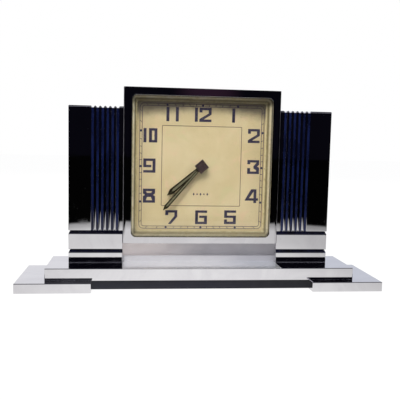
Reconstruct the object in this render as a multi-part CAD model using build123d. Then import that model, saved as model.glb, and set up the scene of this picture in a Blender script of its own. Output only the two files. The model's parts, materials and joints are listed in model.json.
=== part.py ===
from build123d import *
import math
import os

# A chromed art-deco mantel clock with a square dial, two fluted side wings with blue
# enamel grooves, a stepped base and a flat eight-day lever movement behind the dial.
# Millimetres. +X is the clock's right as a viewer sees it, +Y points to the back, +Z is up.
# The origin is on the table, under the centre of the two foot blocks.

# ---- overall sizes -------------------------------------------------------------------
WIDTH = 254.0
HEIGHT = 140.2
DEPTH = 58.6

# ---- base ----------------------------------------------------------------------------
FOOT_INNER = 76.4          # where each foot block starts, from the centre
FOOT_TOP = 7.1
FOOT_LIFT = 0.4            # the felt stands this far out of the foot's pocket
FELT_THICK = 1.0
FELT_INSET = 4.0
BAR_FRONT = -19.4
BAR_BACK = 20.0
BAR_LIFT = 0.6
SLAB_HALF = 108.0
SLAB_FRONT = -21.4
SLAB_BACK = 22.5
SLAB_TOP = 15.5
PLINTH_FRONT = 3.6
PLINTH_BACK = 18.0
EDGE = 0.5                 # the small round on polished edges

# ---- centre case ---------------------------------------------------------------------
CASE_HALF = 56.1
CASE_BOTTOM = 29.8
CASE_FRONT = -3.4
CASE_BACK = 22.0
CASE_WALL = 1.2
BEZEL_BACK = 2.0
BEZEL_SIDE_ROUND = 2.2
BEZEL_LIP = 0.8
OPENING_HALF = 50.25
OPENING_ROUND = 3.6
REBATE_HALF = 52.0
OPENING_AT = (0.0, -0.5)   # the opening's centre, from the dial's centre
CENTRE_Z = 85.1            # height of the dial's centre

# ---- glass, sight frame and dial -----------------------------------------------------
GLASS_FRONT = CASE_FRONT + BEZEL_LIP
GLASS_THICK = 1.8
GASKET_THICK = 0.3
SIGHT_STEP_Y = 2.2
DIAL_FRONT = 5.6
DIAL_THICK = 0.6
DIAL_HALF = 49.5
SIGHT_HALF = 46.6          # the sight frame's inner edge, at the dial

# ---- wings ---------------------------------------------------------------------------
WING_OUTER = 94.1
WING_TOP = 126.5
WING_FRONT = -1.4
WING_BACK = 14.6
FLUTE_FIRST = 60.1         # centre of the groove nearest the case
FLUTE_LAST = 77.5
FLUTES = 6
FLUTE_WIDTH = 1.4
RIB_RISE = 1.15            # the half-round ribs' height above the enamel
ENAMEL_THICK = 0.5
BAND_GROOVES = ((36.3, 38.6), (22.8, 25.1))
BAND_DEPTH = 1.5
BAND_INSET = (0.1, 1.3)    # how far the bands' enamel stands back, at its foot and its top

# ---- movement ------------------------------------------------------------------------
FRONT_PLATE = (8.6, 9.8)
BACK_PLATE = (16.4, 17.6)
PLATE_LEFT = -43.0
PLATE_RIGHT = 33.0
PLATE_LOW = -22.0          # from the dial's centre
PLATE_HIGH = 24.0
COCK_BACK = 18.8
COVER_FRONT = 20.8
PILLARS = ((-39.5, -18.5), (-39.5, 20.5), (29.5, -18.5), (30.3, 21.5))
RUN = 0.05                 # radial clearance of a running fit

# Teeth and modules of the train. Each wheel drives the next arbor's pinion.
BARREL_TEETH = 80
BARREL_MODULE = 0.35
INTERMEDIATE_PINION = 16
INTERMEDIATE_TEETH = 72
INTERMEDIATE_MODULE = 0.30
CENTRE_PINION = 12
CENTRE_TEETH = 80
CENTRE_MODULE = 0.25
THIRD_PINION = 10
THIRD_TEETH = 75
THIRD_MODULE = 0.22
FOURTH_PINION = 10
FOURTH_TEETH = 80
FOURTH_MODULE = 0.20
ESCAPE_PINION = 8
ESCAPE_TEETH = 15
ESCAPE_RADIUS = 4.0

# Motion work behind the dial.
CANNON_TEETH = 12
MINUTE_WHEEL_TEETH = 36
CANNON_MODULE = 0.25
MINUTE_PINION_TEETH = 10
HOUR_WHEEL_TEETH = 40
HOUR_MODULE = 0.24

# Hands stand at 7:37.
MINUTE_TURN = 220.7
HOUR_TURN = 229.3
MINUTE_LENGTH = 42.0
MINUTE_WIDTH = 3.0
HOUR_LENGTH = 32.6
HOUR_WIDTH = 4.1
MINUTE_HAND = (1.2, 1.7)
HOUR_HAND = (2.6, 3.1)
HUB_SIDE = 7.5
HUB_TURN = 230.3
HUB = (0.3, 1.2)
ARBOR_RADIUS = 0.75


# ---- places of the arbors, from the dial's centre ------------------------------------
def step(start, angle, distance):
    """The point a distance from a start point, at an angle in degrees from +X."""
    turn = math.radians(angle)
    return (start[0] + distance * math.cos(turn), start[1] + distance * math.sin(turn))


def spacing(driver, driven, module):
    """Centre distance of two meshed toothed wheels."""
    return (driver + driven) * module / 2


CENTRE = (0.0, 0.0)
TO_INTERMEDIATE = 150.0
TO_BARREL = 200.0
TO_THIRD = -60.0
TO_FOURTH = 0.0
TO_ESCAPE = 60.0
TO_PALLET = 75.0
TO_BALANCE = 90.0
TO_MINUTE_WHEEL = 45.0
INTERMEDIATE = step(CENTRE, TO_INTERMEDIATE,
                    spacing(CENTRE_PINION, INTERMEDIATE_TEETH, INTERMEDIATE_MODULE))
BARREL = step(INTERMEDIATE, TO_BARREL, spacing(BARREL_TEETH, INTERMEDIATE_PINION, BARREL_MODULE))
THIRD = step(CENTRE, TO_THIRD, spacing(CENTRE_TEETH, THIRD_PINION, CENTRE_MODULE))
FOURTH = step(THIRD, TO_FOURTH, spacing(THIRD_TEETH, FOURTH_PINION, THIRD_MODULE))
ESCAPE = step(FOURTH, TO_ESCAPE, spacing(FOURTH_TEETH, ESCAPE_PINION, FOURTH_MODULE))
PALLET = step(ESCAPE, TO_PALLET, 5.4)
BALANCE = step(PALLET, TO_BALANCE, 9.5)
MINUTE_POST = step(CENTRE, TO_MINUTE_WHEEL,
                   spacing(CANNON_TEETH, MINUTE_WHEEL_TEETH, CANNON_MODULE))

# Tooth layers, front and back face of each wheel, along Y.
INTERMEDIATE_WHEEL = (10.2, 10.8)
BARREL_DRUM = (11.4, 15.9)
BARREL_RIM = (11.4, 12.4)
CENTRE_WHEEL = (13.2, 13.7)
THIRD_WHEEL = (14.8, 15.2)
FOURTH_WHEEL = (12.0, 12.4)
ESCAPE_WHEEL = (13.3, 13.7)
LEVER = (13.2, 13.7)
BALANCE_WHEEL = (14.8, 15.6)
HAIRSPRING = (16.2, 16.7)
MINUTE_WHEEL = (7.7, 8.1)
HOUR_WHEEL = (6.7, 7.1)
RATCHET = (17.8, 18.5)
BARREL_OUTER = 13.3
BARREL_INNER = 12.7
RATCHET_TEETH = 24
RATCHET_TIP = 6.5
RATCHET_ROOT = 6.0
CLICK_NOSE_ANGLE = 60.0
CLICK_PIVOT = (-1.0, 11.46)  # from the barrel's arbor


# ---- helpers -------------------------------------------------------------------------
def block(x0, x1, y0, y1, z0, z1):
    """A box between two corners."""
    middle = Pos((x0 + x1) / 2, (y0 + y1) / 2, (z0 + z1) / 2)
    return middle * Box(x1 - x0, y1 - y0, z1 - z0)


def along_y(sketch, span, at=(0.0, 0.0)):
    """Extrude a sketch of the clock's front view through a span of Y.

    The sketch's origin is put at a place given from the dial's centre.
    """
    front, back = span
    place = Plane(origin=(at[0], back, CENTRE_Z + at[1]), x_dir=(1, 0, 0), z_dir=(0, -1, 0))
    return extrude(place * sketch, amount=back - front)


def rod(radius, span, at=CENTRE):
    """A round bar along Y."""
    return along_y(Circle(radius), span, at)


def rod_z(radius, x, y, z0, z1):
    """A round bar along Z."""
    return Pos(x, y, (z0 + z1) / 2) * Cylinder(radius, z1 - z0)


def polygon(points):
    """A closed outline through points, always turned to face the same way."""
    area = sum(a[0] * b[1] - b[0] * a[1] for a, b in zip(points, points[1:] + points[:1]))
    if area < 0:
        points = points[::-1]
    return Polygon(*points, align=None)


def bar(start, end, width_start, width_end):
    """A straight tapered bar between two points of the front view."""
    run = math.hypot(end[0] - start[0], end[1] - start[1])
    side = (-(end[1] - start[1]) / run / 2, (end[0] - start[0]) / run / 2)
    return polygon([
        (start[0] - side[0] * width_start, start[1] - side[1] * width_start),
        (end[0] - side[0] * width_end, end[1] - side[1] * width_end),
        (end[0] + side[0] * width_end, end[1] + side[1] * width_end),
        (start[0] + side[0] * width_start, start[1] + side[1] * width_start),
    ])


def on_circle(radius, angle):
    """A point on a circle about the sketch's origin, the angle in degrees from +X."""
    return step((0.0, 0.0), angle, radius)


ROOT_SHARE = 0.28          # half a tooth's width at the root, in tooth pitches
TIP_SHARE = 0.09
TIP_MODULES = 0.85         # tip height above the pitch circle
ROOT_MODULES = 1.30        # root depth below the pitch circle


def toothed(teeth, module, tooth_at):
    """A toothed outline with straight-sided teeth, one of them centred at an angle."""
    pitch_radius = teeth * module / 2
    root = pitch_radius - ROOT_MODULES * module
    tip = pitch_radius + TIP_MODULES * module
    pitch = 360.0 / teeth
    points = []
    for tooth in range(teeth):
        centre = tooth_at + tooth * pitch
        points.append(on_circle(root, centre - ROOT_SHARE * pitch))
        points.append(on_circle(tip, centre - TIP_SHARE * pitch))
        points.append(on_circle(tip, centre + TIP_SHARE * pitch))
        points.append(on_circle(root, centre + ROOT_SHARE * pitch))
    return polygon(points)


def gap_at(teeth, angle):
    """The tooth angle that puts a gap between teeth at an angle."""
    return angle + 180.0 / teeth


def crossed_wheel(teeth, module, tooth_at, hub, bore, arms):
    """A toothed wheel with a rim, straight arms and a bored hub."""
    rim = teeth * module / 2 - ROOT_MODULES * module - 0.9
    outline = toothed(teeth, module, tooth_at) - Circle(rim)
    outline += Circle(hub)
    for arm in range(arms):
        angle = arm * 360.0 / arms
        outline += bar(on_circle(hub * 0.7, angle), on_circle(rim + 0.3, angle), 1.1, 0.8)
    return outline - Circle(bore)


def spiral_ribbon(inner, outer, turns, thickness):
    """The outline of a flat coiled spring, from its inner to its outer end."""
    steps = int(turns * 20)
    inside = []
    outside = []
    for index in range(steps + 1):
        share = index / steps
        radius = inner + (outer - inner) * share
        inside.append(on_circle(radius - thickness / 2, 360 * turns * share))
        outside.append(on_circle(radius + thickness / 2, 360 * turns * share))
    return polygon(inside + outside[::-1])


def square_ring(outer, inner, round_outer, round_inner):
    """A square frame's outline."""
    return RectangleRounded(2 * outer, 2 * outer, round_outer) - RectangleRounded(
        2 * inner, 2 * inner, round_inner)


def mirrored(shape):
    """The same shape on the clock's other side."""
    return mirror(shape, about=Plane.YZ)


def both_sides(shape):
    """A shape and its mirror image, as separate solids."""
    return [shape, mirrored(shape)]


# ---- base ----------------------------------------------------------------------------
FOOT_SCREWS = (86.0, 101.0)
FOOT_SCREW_Y = 6.6
SCREW_RADIUS = 1.5
SCREW_HEAD = 2.9
TIE_X = 34.0
TIE_Y = 11.0
TIE_RADIUS = 2.0
TIE_HEAD = 3.6
HOLE = 0.1                 # radial clearance of a screw hole


def foot():
    body = block(FOOT_INNER, WIDTH / 2, -DEPTH / 2, DEPTH / 2, FOOT_LIFT, FOOT_TOP)
    body = fillet(body.edges().filter_by(Axis.Z), EDGE)
    body = fillet(body.edges().group_by(Axis.Z)[-1], EDGE)
    body -= block(FOOT_INNER + FELT_INSET, WIDTH / 2 - FELT_INSET, -DEPTH / 2 + FELT_INSET,
                  DEPTH / 2 - FELT_INSET, 0, FELT_THICK)
    for x in FOOT_SCREWS:
        body -= rod_z(SCREW_HEAD + HOLE, x, FOOT_SCREW_Y, 0, 3.2)
        body -= rod_z(SCREW_RADIUS + HOLE, x, FOOT_SCREW_Y, 0, FOOT_TOP + 1)
    return body


def foot_pads():
    pad = block(FOOT_INNER + FELT_INSET, WIDTH / 2 - FELT_INSET, -DEPTH / 2 + FELT_INSET,
                DEPTH / 2 - FELT_INSET, 0, FELT_THICK)
    return both_sides(pad)


def foot_screws():
    long_screw = rod_z(SCREW_HEAD, FOOT_SCREWS[0], FOOT_SCREW_Y, 1.4, 3.2)
    long_screw += rod_z(SCREW_RADIUS, FOOT_SCREWS[0], FOOT_SCREW_Y, 3.0, 24.0)
    short_screw = rod_z(SCREW_HEAD, FOOT_SCREWS[1], FOOT_SCREW_Y, 1.4, 3.2)
    short_screw += rod_z(SCREW_RADIUS, FOOT_SCREWS[1], FOOT_SCREW_Y, 3.0, 13.0)
    return both_sides(long_screw) + both_sides(short_screw)


def base_bar():
    body = block(-FOOT_INNER, FOOT_INNER, BAR_FRONT, BAR_BACK, BAR_LIFT, FOOT_TOP)
    for x in (-TIE_X, TIE_X):
        body -= rod_z(TIE_HEAD + HOLE, x, TIE_Y, 0, 3.4)
        body -= rod_z(TIE_RADIUS + HOLE, x, TIE_Y, 0, FOOT_TOP + 1)
    return body


def base_slab():
    body = block(-SLAB_HALF, SLAB_HALF, SLAB_FRONT, SLAB_BACK, FOOT_TOP, SLAB_TOP)
    body = fillet(body.edges().filter_by(Axis.Z), EDGE)
    body = fillet(body.edges().group_by(Axis.Z)[-1], EDGE)
    for side in (-1, 1):
        body -= rod_z(TIE_RADIUS + HOLE, side * TIE_X, TIE_Y, 0, SLAB_TOP + 1)
        body -= rod_z(SCREW_RADIUS + HOLE, side * FOOT_SCREWS[0], FOOT_SCREW_Y, 0, SLAB_TOP + 1)
        body -= rod_z(SCREW_RADIUS, side * FOOT_SCREWS[1], FOOT_SCREW_Y, 0, 13.2)
    return body


def plinth():
    body = block(-CASE_HALF, CASE_HALF, PLINTH_FRONT, PLINTH_BACK, SLAB_TOP, CASE_BOTTOM)
    for x in (-TIE_X, TIE_X):
        body -= rod_z(TIE_RADIUS + HOLE, x, TIE_Y, 0, CASE_BOTTOM + 1)
    return body


def tie_bolts():
    bolt = rod_z(TIE_HEAD, TIE_X, TIE_Y, 1.4, 3.4)
    bolt += rod_z(TIE_RADIUS, TIE_X, TIE_Y, 3.2, CASE_BOTTOM + CASE_WALL + 3.4)
    return both_sides(bolt)


def tie_nuts():
    seat = CASE_BOTTOM + CASE_WALL
    nut = Pos(TIE_X, TIE_Y, seat) * extrude(RegularPolygon(3.9, 6), amount=2.6)
    nut -= rod_z(TIE_RADIUS, TIE_X, TIE_Y, seat - 1, seat + 4)
    return both_sides(nut)


# ---- wings ---------------------------------------------------------------------------
FLUTE_PITCH = (FLUTE_LAST - FLUTE_FIRST) / (FLUTES - 1)
RIB_FOOT = RIB_RISE
FLUTE_FLOOR = RIB_RISE + ENAMEL_THICK
WING_SCREW_Z = (-14.0, 14.0)
WING_SCREW_Y = 11.8


def fluted_edge(along, rise_start):
    """Points and arcs of a fluted edge that runs along one axis.

    rise_start(x, depth) gives the sketch point at a place and a depth below the ribs.
    """
    lines = []
    here = rise_start(CASE_HALF, 0)
    for flute in range(FLUTES):
        left = along[flute] - FLUTE_WIDTH / 2
        right = along[flute] + FLUTE_WIDTH / 2
        if flute == 0:
            lines.append(Line(here, rise_start(left, 0)))
            lines.append(Line(rise_start(left, 0), rise_start(left, RIB_FOOT)))
        lines.append(Line(rise_start(left, RIB_FOOT), rise_start(left, FLUTE_FLOOR)))
        lines.append(Line(rise_start(left, FLUTE_FLOOR), rise_start(right, FLUTE_FLOOR)))
        lines.append(Line(rise_start(right, FLUTE_FLOOR), rise_start(right, RIB_FOOT)))
        if flute < FLUTES - 1:
            following = along[flute + 1] - FLUTE_WIDTH / 2
            lines.append(ThreePointArc(rise_start(right, RIB_FOOT),
                                       rise_start((right + following) / 2, 0),
                                       rise_start(following, RIB_FOOT)))
        else:
            lines.append(Line(rise_start(right, RIB_FOOT), rise_start(right + 0.3, 0)))
            lines.append(Line(rise_start(right + 0.3, 0), rise_start(WING_OUTER, 0)))
    return lines


FLUTE_CENTRES = [FLUTE_FIRST + flute * FLUTE_PITCH for flute in range(FLUTES)]


def fluted_column():
    """The wing above its bands: fluted in front and over the top."""
    front = fluted_edge(FLUTE_CENTRES, lambda x, depth: (x, WING_FRONT + depth))
    front.append(Line((WING_OUTER, WING_FRONT), (WING_OUTER, WING_BACK)))
    front.append(Line((WING_OUTER, WING_BACK), (CASE_HALF, WING_BACK)))
    front.append(Line((CASE_HALF, WING_BACK), (CASE_HALF, WING_FRONT)))
    plan = make_face(Curve() + front)
    column = extrude(Pos(0, 0, BAND_GROOVES[0][1]) * plan, amount=WING_TOP - BAND_GROOVES[0][1])
    column = column.solids()[0]
    for centre in FLUTE_CENTRES:
        column -= block(centre - FLUTE_WIDTH / 2, centre + FLUTE_WIDTH / 2, WING_FRONT - 1,
                        WING_BACK + 1, WING_TOP - RIB_RISE, WING_TOP + 1)
    return column


def wing_right():
    body = fluted_column()
    body += block(CASE_HALF, WING_OUTER, WING_FRONT, WING_BACK, SLAB_TOP, BAND_GROOVES[0][1])
    for low, high in BAND_GROOVES:
        body -= block(CASE_HALF - 1, WING_OUTER + 1, WING_FRONT - 1, WING_FRONT + BAND_DEPTH,
                      low, high)
        body -= block(WING_OUTER - BAND_DEPTH, WING_OUTER + 1, WING_FRONT - 1, WING_BACK + 1,
                      low, high)
    body -= rod_z(SCREW_RADIUS, FOOT_SCREWS[0], FOOT_SCREW_Y, SLAB_TOP - 1, 24.3)
    for z in WING_SCREW_Z:
        hole = Pos(CASE_HALF + 4.0, WING_SCREW_Y, CENTRE_Z + z) * Rot(0, 90, 0)
        body -= hole * Cylinder(SCREW_RADIUS, 8.4)
    return body


def band_section(inset, z):
    """A level outline of a band's enamel, set back from the wing's front and outer side."""
    wide = WING_OUTER - inset - CASE_HALF
    deep = WING_BACK - WING_FRONT - inset
    return Pos(CASE_HALF + wide / 2, WING_BACK - deep / 2, z) * Rectangle(wide, deep)


def wing_enamel_right():
    """Blue enamel in the bottoms of the vertical grooves and, sloping, in the two bands."""
    strips = []
    for centre in FLUTE_CENTRES:
        strips.append(block(centre - FLUTE_WIDTH / 2, centre + FLUTE_WIDTH / 2,
                            WING_FRONT + RIB_RISE, WING_FRONT + FLUTE_FLOOR,
                            BAND_GROOVES[0][1], WING_TOP - RIB_RISE))
    for low, high in BAND_GROOVES:
        band = loft([band_section(BAND_INSET[0], low), band_section(BAND_INSET[1], high)])
        band -= block(CASE_HALF - 1, WING_OUTER - BAND_DEPTH, WING_FRONT + BAND_DEPTH,
                      WING_BACK + 1, low - 1, high + 1)
        strips.append(band)
    return strips


def wing_screws():
    screws = []
    for z in WING_SCREW_Z:
        axis = Pos(0, WING_SCREW_Y, CENTRE_Z + z) * Rot(0, 90, 0)
        shank_end = CASE_HALF + 8.0
        head_start = CASE_HALF - CASE_WALL - BRACKET_THICK - 1.4
        head = axis * Pos(0, 0, head_start + 0.7) * Cylinder(SCREW_HEAD, 1.4)
        middle = (head_start + shank_end) / 2
        head += axis * Pos(0, 0, middle) * Cylinder(SCREW_RADIUS, shank_end - head_start)
        screws += both_sides(head)
    return screws


# ---- case ----------------------------------------------------------------------------
LUG = 7.0
LUG_FRONT = 12.0
COVER_SCREW = 1.0
COVER_GAP = 0.15
SLOT_INNER = 7.6
SLOT_OUTER = 9.4
SLOT_SWEEP = 24.0


def lug_places():
    """Centres of the four corner lugs, from the dial's centre, as x and z."""
    x = CASE_HALF - CASE_WALL - LUG / 2
    top = HEIGHT - CASE_WALL - LUG / 2 - CENTRE_Z
    bottom = CASE_BOTTOM + CASE_WALL + LUG / 2 - CENTRE_Z
    return [(side * x, z) for side in (-1, 1) for z in (bottom, top)]


def centre_case():
    outer = block(-CASE_HALF, CASE_HALF, BEZEL_BACK, CASE_BACK, CASE_BOTTOM, HEIGHT)
    inner = block(-CASE_HALF + CASE_WALL, CASE_HALF - CASE_WALL, BEZEL_BACK - 1, CASE_BACK + 1,
                  CASE_BOTTOM + CASE_WALL, HEIGHT - CASE_WALL)
    body = outer - inner
    for place in lug_places():
        body += along_y(Rectangle(LUG, LUG), (LUG_FRONT, COVER_FRONT), place)
        body -= rod(COVER_SCREW, (LUG_FRONT + 1, COVER_FRONT + 1), place)
    for x in (-TIE_X, TIE_X):
        body -= rod_z(TIE_RADIUS + HOLE, x, TIE_Y, CASE_BOTTOM - 1, CASE_BOTTOM + CASE_WALL + 1)
    for side in (-1, 1):
        for z in WING_SCREW_Z:
            hole = Pos(side * CASE_HALF, WING_SCREW_Y, CENTRE_Z + z) * Rot(0, 90, 0)
            body -= hole * Cylinder(SCREW_RADIUS + HOLE, 4.0)
    return body


def bezel():
    body = block(-CASE_HALF, CASE_HALF, CASE_FRONT, BEZEL_BACK, CASE_BOTTOM, HEIGHT)
    front_sides = body.edges().filter_by(Axis.Z).sort_by(Axis.Y)[:2]
    body = fillet(front_sides, BEZEL_SIDE_ROUND)
    opening = RectangleRounded(2 * OPENING_HALF, 2 * OPENING_HALF, OPENING_ROUND)
    rebate = RectangleRounded(2 * REBATE_HALF, 2 * REBATE_HALF, OPENING_ROUND)
    body -= along_y(opening, (CASE_FRONT - 1, BEZEL_BACK + 1), OPENING_AT)
    body -= along_y(rebate, (GLASS_FRONT, BEZEL_BACK + 1), OPENING_AT)
    return body


def glass():
    sheet = RectangleRounded(2 * REBATE_HALF - 0.4, 2 * REBATE_HALF - 0.4, OPENING_ROUND)
    return along_y(sheet, (GLASS_FRONT, GLASS_FRONT + GLASS_THICK), OPENING_AT)


def glass_gasket():
    start = GLASS_FRONT + GLASS_THICK
    ring = square_ring(REBATE_HALF - 0.2, OPENING_HALF + 0.3, OPENING_ROUND, 3.0)
    return along_y(ring, (start, start + GASKET_THICK), OPENING_AT)


def sight_cut(half_front, front, half_back, back):
    """A square hole that narrows towards the dial."""
    sections = []
    for half, y in ((half_front, front), (half_back, back)):
        origin = (OPENING_AT[0], y, CENTRE_Z + OPENING_AT[1])
        place = Plane(origin=origin, x_dir=(1, 0, 0), z_dir=(0, -1, 0))
        sections.append(place * RectangleRounded(2 * half, 2 * half, 1.6))
    return loft(sections)


def sight_frame():
    start = GLASS_FRONT + GLASS_THICK + GASKET_THICK
    outer = RectangleRounded(2 * REBATE_HALF - 0.4, 2 * REBATE_HALF - 0.4, OPENING_ROUND)
    body = along_y(outer, (start, DIAL_FRONT), OPENING_AT)
    body -= sight_cut(OPENING_HALF, start, OPENING_HALF - 1.6, SIGHT_STEP_Y)
    body -= sight_cut(OPENING_HALF - 1.9, SIGHT_STEP_Y, SIGHT_HALF, DIAL_FRONT)
    return body


def rear_cover():
    half = CASE_HALF - CASE_WALL - COVER_GAP
    bottom = CASE_BOTTOM + CASE_WALL + COVER_GAP
    body = block(-half, half, COVER_FRONT, CASE_BACK, bottom, HEIGHT - CASE_WALL - COVER_GAP)
    for place in lug_places():
        body -= rod(COVER_SCREW + HOLE, (COVER_FRONT - 1, CASE_BACK + 1), place)
    body -= rod(3.0, (COVER_FRONT - 1, CASE_BACK + 1), BARREL)
    body -= rod(2.0, (COVER_FRONT - 1, CASE_BACK + 1), CENTRE)
    wedge = polygon([(0, 0), on_circle(14, 90 - SLOT_SWEEP), on_circle(14, 90 + SLOT_SWEEP)])
    slot = (Circle(SLOT_OUTER) - Circle(SLOT_INNER)) & wedge
    body -= along_y(slot, (COVER_FRONT - 1, CASE_BACK + 1), BALANCE)
    return body


def cover_screws():
    screws = []
    for place in lug_places():
        screw = rod(2.1, (CASE_BACK, CASE_BACK + 1.0), place)
        screw += rod(COVER_SCREW, (LUG_FRONT + 2, CASE_BACK), place)
        screw -= along_y(Rectangle(5.0, 0.5), (CASE_BACK + 0.5, CASE_BACK + 1.5), place)
        screws.append(screw)
    return screws


# ---- dial and hands ------------------------------------------------------------------
DIAL_FEET = ((-15.0, 18.0), (15.0, -18.0))
DIAL_HOLE = 2.4
FOOT_PIN = 0.7


def dial():
    plate = Rectangle(2 * DIAL_HALF, 2 * DIAL_HALF) - Circle(DIAL_HOLE)
    return along_y(plate, (DIAL_FRONT, DIAL_FRONT + DIAL_THICK))


def dial_feet():
    return [rod(FOOT_PIN, (DIAL_FRONT + DIAL_THICK, FRONT_PLATE[1]), place)
            for place in DIAL_FEET]


def hand_outline(length, width, tail):
    """A hand that points along +Y of the sketch, widest near its pointed tip."""
    root = width * HAND_ROOT_SHARE
    return polygon([
        (-root / 2, -tail),
        (root / 2, -tail),
        (width / 2, length - width * 1.1),
        (0, length),
        (-width / 2, length - width * 1.1),
    ])


HAND_ROOT_SHARE = 0.6      # a hand's width at its root, as a share of its greatest width
HAND_WINDOW_SHARE = 0.4    # its slot's width, as a share of the hand's width there
HAND_SLOT_START = 4.8
MINUTE_SEAT = 2.2
HOUR_SEAT = 3.4
HOUR_PIPE = 2.0
HOUR_PIPE_BORE = 1.25


def hand_window(length, width):
    """The slot in a skeleton hand."""
    outer = width * HAND_WINDOW_SHARE
    inner = outer * HAND_ROOT_SHARE
    end = length - width * 1.5
    return polygon([
        (-inner / 2, HAND_SLOT_START),
        (inner / 2, HAND_SLOT_START),
        (outer / 2, end),
        (0, end + outer),
        (-outer / 2, end),
    ])


def skeleton_hand(length, width, seat, bore, span, turn):
    sketch = hand_outline(length, width, 1.0) + Circle(seat)
    sketch -= hand_window(length, width)
    sketch -= Circle(bore)
    return along_y(Rot(0, 0, -turn) * sketch, span)


def hand_fill(length, width, span, turn):
    """The luminous infill of a skeleton hand, a little thinner than the hand."""
    front, back = span
    return along_y(Rot(0, 0, -turn) * hand_window(length, width), (front + 0.12, back - 0.05))


def minute_hand():
    return skeleton_hand(MINUTE_LENGTH, MINUTE_WIDTH, MINUTE_SEAT, ARBOR_RADIUS, MINUTE_HAND,
                         MINUTE_TURN)


def minute_hand_fill():
    return hand_fill(MINUTE_LENGTH, MINUTE_WIDTH, MINUTE_HAND, MINUTE_TURN)


def hour_hand():
    return skeleton_hand(HOUR_LENGTH, HOUR_WIDTH, HOUR_SEAT, HOUR_PIPE, HOUR_HAND, HOUR_TURN)


def hour_hand_fill():
    return hand_fill(HOUR_LENGTH, HOUR_WIDTH, HOUR_HAND, HOUR_TURN)


def hand_hub():
    body = along_y(Rot(0, 0, -HUB_TURN) * Rectangle(HUB_SIDE, HUB_SIDE), HUB)
    front_edges = body.edges().group_by(Axis.Y)[0]
    body = chamfer(front_edges, 0.3)
    return body - rod(ARBOR_RADIUS, (HUB[1] - 0.3, HUB[1] + 1))


# ---- motion work ---------------------------------------------------------------------
CANNON_TOOTH_AT = TO_MINUTE_WHEEL
MINUTE_TOOTH_AT = gap_at(MINUTE_WHEEL_TEETH, TO_MINUTE_WHEEL + 180)
MINUTE_PINION_AT = TO_MINUTE_WHEEL + 180
HOUR_TOOTH_AT = gap_at(HOUR_WHEEL_TEETH, TO_MINUTE_WHEEL)
POST_RADIUS = 0.5


def minute_arbor():
    return rod(ARBOR_RADIUS, (HUB[1] - 0.3, 26.4))


def cannon_pinion():
    body = along_y(toothed(CANNON_TEETH, CANNON_MODULE, CANNON_TOOTH_AT), (7.6, 8.4))
    body += rod(HOUR_PIPE_BORE - RUN, (MINUTE_HAND[1], 7.7))
    return body - rod(ARBOR_RADIUS, (0, 9))


def minute_wheel():
    wheel = toothed(MINUTE_WHEEL_TEETH, CANNON_MODULE, MINUTE_TOOTH_AT)
    body = along_y(wheel, MINUTE_WHEEL, MINUTE_POST)
    pinion = toothed(MINUTE_PINION_TEETH, HOUR_MODULE, MINUTE_PINION_AT)
    body += along_y(pinion, (6.5, MINUTE_WHEEL[0] + 0.1), MINUTE_POST)
    return body - rod(POST_RADIUS + RUN, (6, 9), MINUTE_POST)


def hour_wheel():
    wheel = toothed(HOUR_WHEEL_TEETH, HOUR_MODULE, HOUR_TOOTH_AT)
    body = along_y(wheel, HOUR_WHEEL)
    body += rod(HOUR_PIPE, (HOUR_HAND[0] - 0.1, HOUR_WHEEL[1]))
    return body - rod(HOUR_PIPE_BORE, (2, 8))


def set_knob():
    grip = toothed(40, 0.28, 0.0)
    body = along_y(grip, (23.2, 27.4))
    body += rod(2.2, (22.4, 23.4))
    return body - rod(ARBOR_RADIUS, (22, 26.4))


# ---- movement frame ------------------------------------------------------------------
JEWEL_PIVOT = 0.35
JEWEL_OUTER = 1.0
JEWELLED = (THIRD, FOURTH, ESCAPE, PALLET)
BRACKET_THICK = 1.2
BRACKET_INNER = 26.5
BRACKET_SCREW = 0.8
BRACKET_SCREWS = ((29.8, -11.0), (29.8, 13.0), (-39.8, -11.0), (-39.8, 13.0))
PILLAR_RADIUS = 1.6
PILLAR_SCREW = 0.8
BALANCE_CLEAR = 9.2
CENTRE_PIVOT = 1.2
BARREL_PIVOT = 1.5


def plate_outline():
    middle = Pos((PLATE_LEFT + PLATE_RIGHT) / 2, (PLATE_LOW + PLATE_HIGH) / 2)
    return middle * RectangleRounded(PLATE_RIGHT - PLATE_LEFT, PLATE_HIGH - PLATE_LOW, 4.0)


def front_plate():
    body = along_y(plate_outline(), FRONT_PLATE)
    through = (FRONT_PLATE[0] - 1, FRONT_PLATE[1] + 1)
    for place in JEWELLED + (BALANCE,):
        body -= rod(JEWEL_OUTER, through, place)
    body -= rod(CENTRE_PIVOT + RUN, through, CENTRE)
    body -= rod(1.0 + RUN, through, BARREL)
    body -= rod(JEWEL_PIVOT + RUN, through, INTERMEDIATE)
    for place in DIAL_FEET:
        body -= rod(FOOT_PIN, through, place)
    for place in BRACKET_SCREWS:
        body -= rod(BRACKET_SCREW, through, place)
    for place in PILLARS:
        body -= rod(PILLAR_SCREW, through, place)
    body += rod(POST_RADIUS, (6.4, FRONT_PLATE[0] + 0.2), MINUTE_POST)
    return body


def back_plate():
    body = along_y(plate_outline(), BACK_PLATE)
    through = (BACK_PLATE[0] - 1, BACK_PLATE[1] + 1)
    for place in JEWELLED:
        body -= rod(JEWEL_OUTER, through, place)
    body -= rod(BALANCE_CLEAR, through, BALANCE)
    body -= rod(CENTRE_PIVOT + RUN, through, CENTRE)
    body -= rod(BARREL_PIVOT + RUN, through, BARREL)
    body -= rod(JEWEL_PIVOT + RUN, through, INTERMEDIATE)
    for place in PILLARS:
        body -= rod(PILLAR_SCREW + RUN, through, place)
    body -= rod(CLICK_POST, through, click_pivot_place())
    body -= rod(COCK_SCREW, through, COCK_FOOT)
    body -= rod(SPRING_PIN, through, click_spring_place())
    return body


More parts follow.
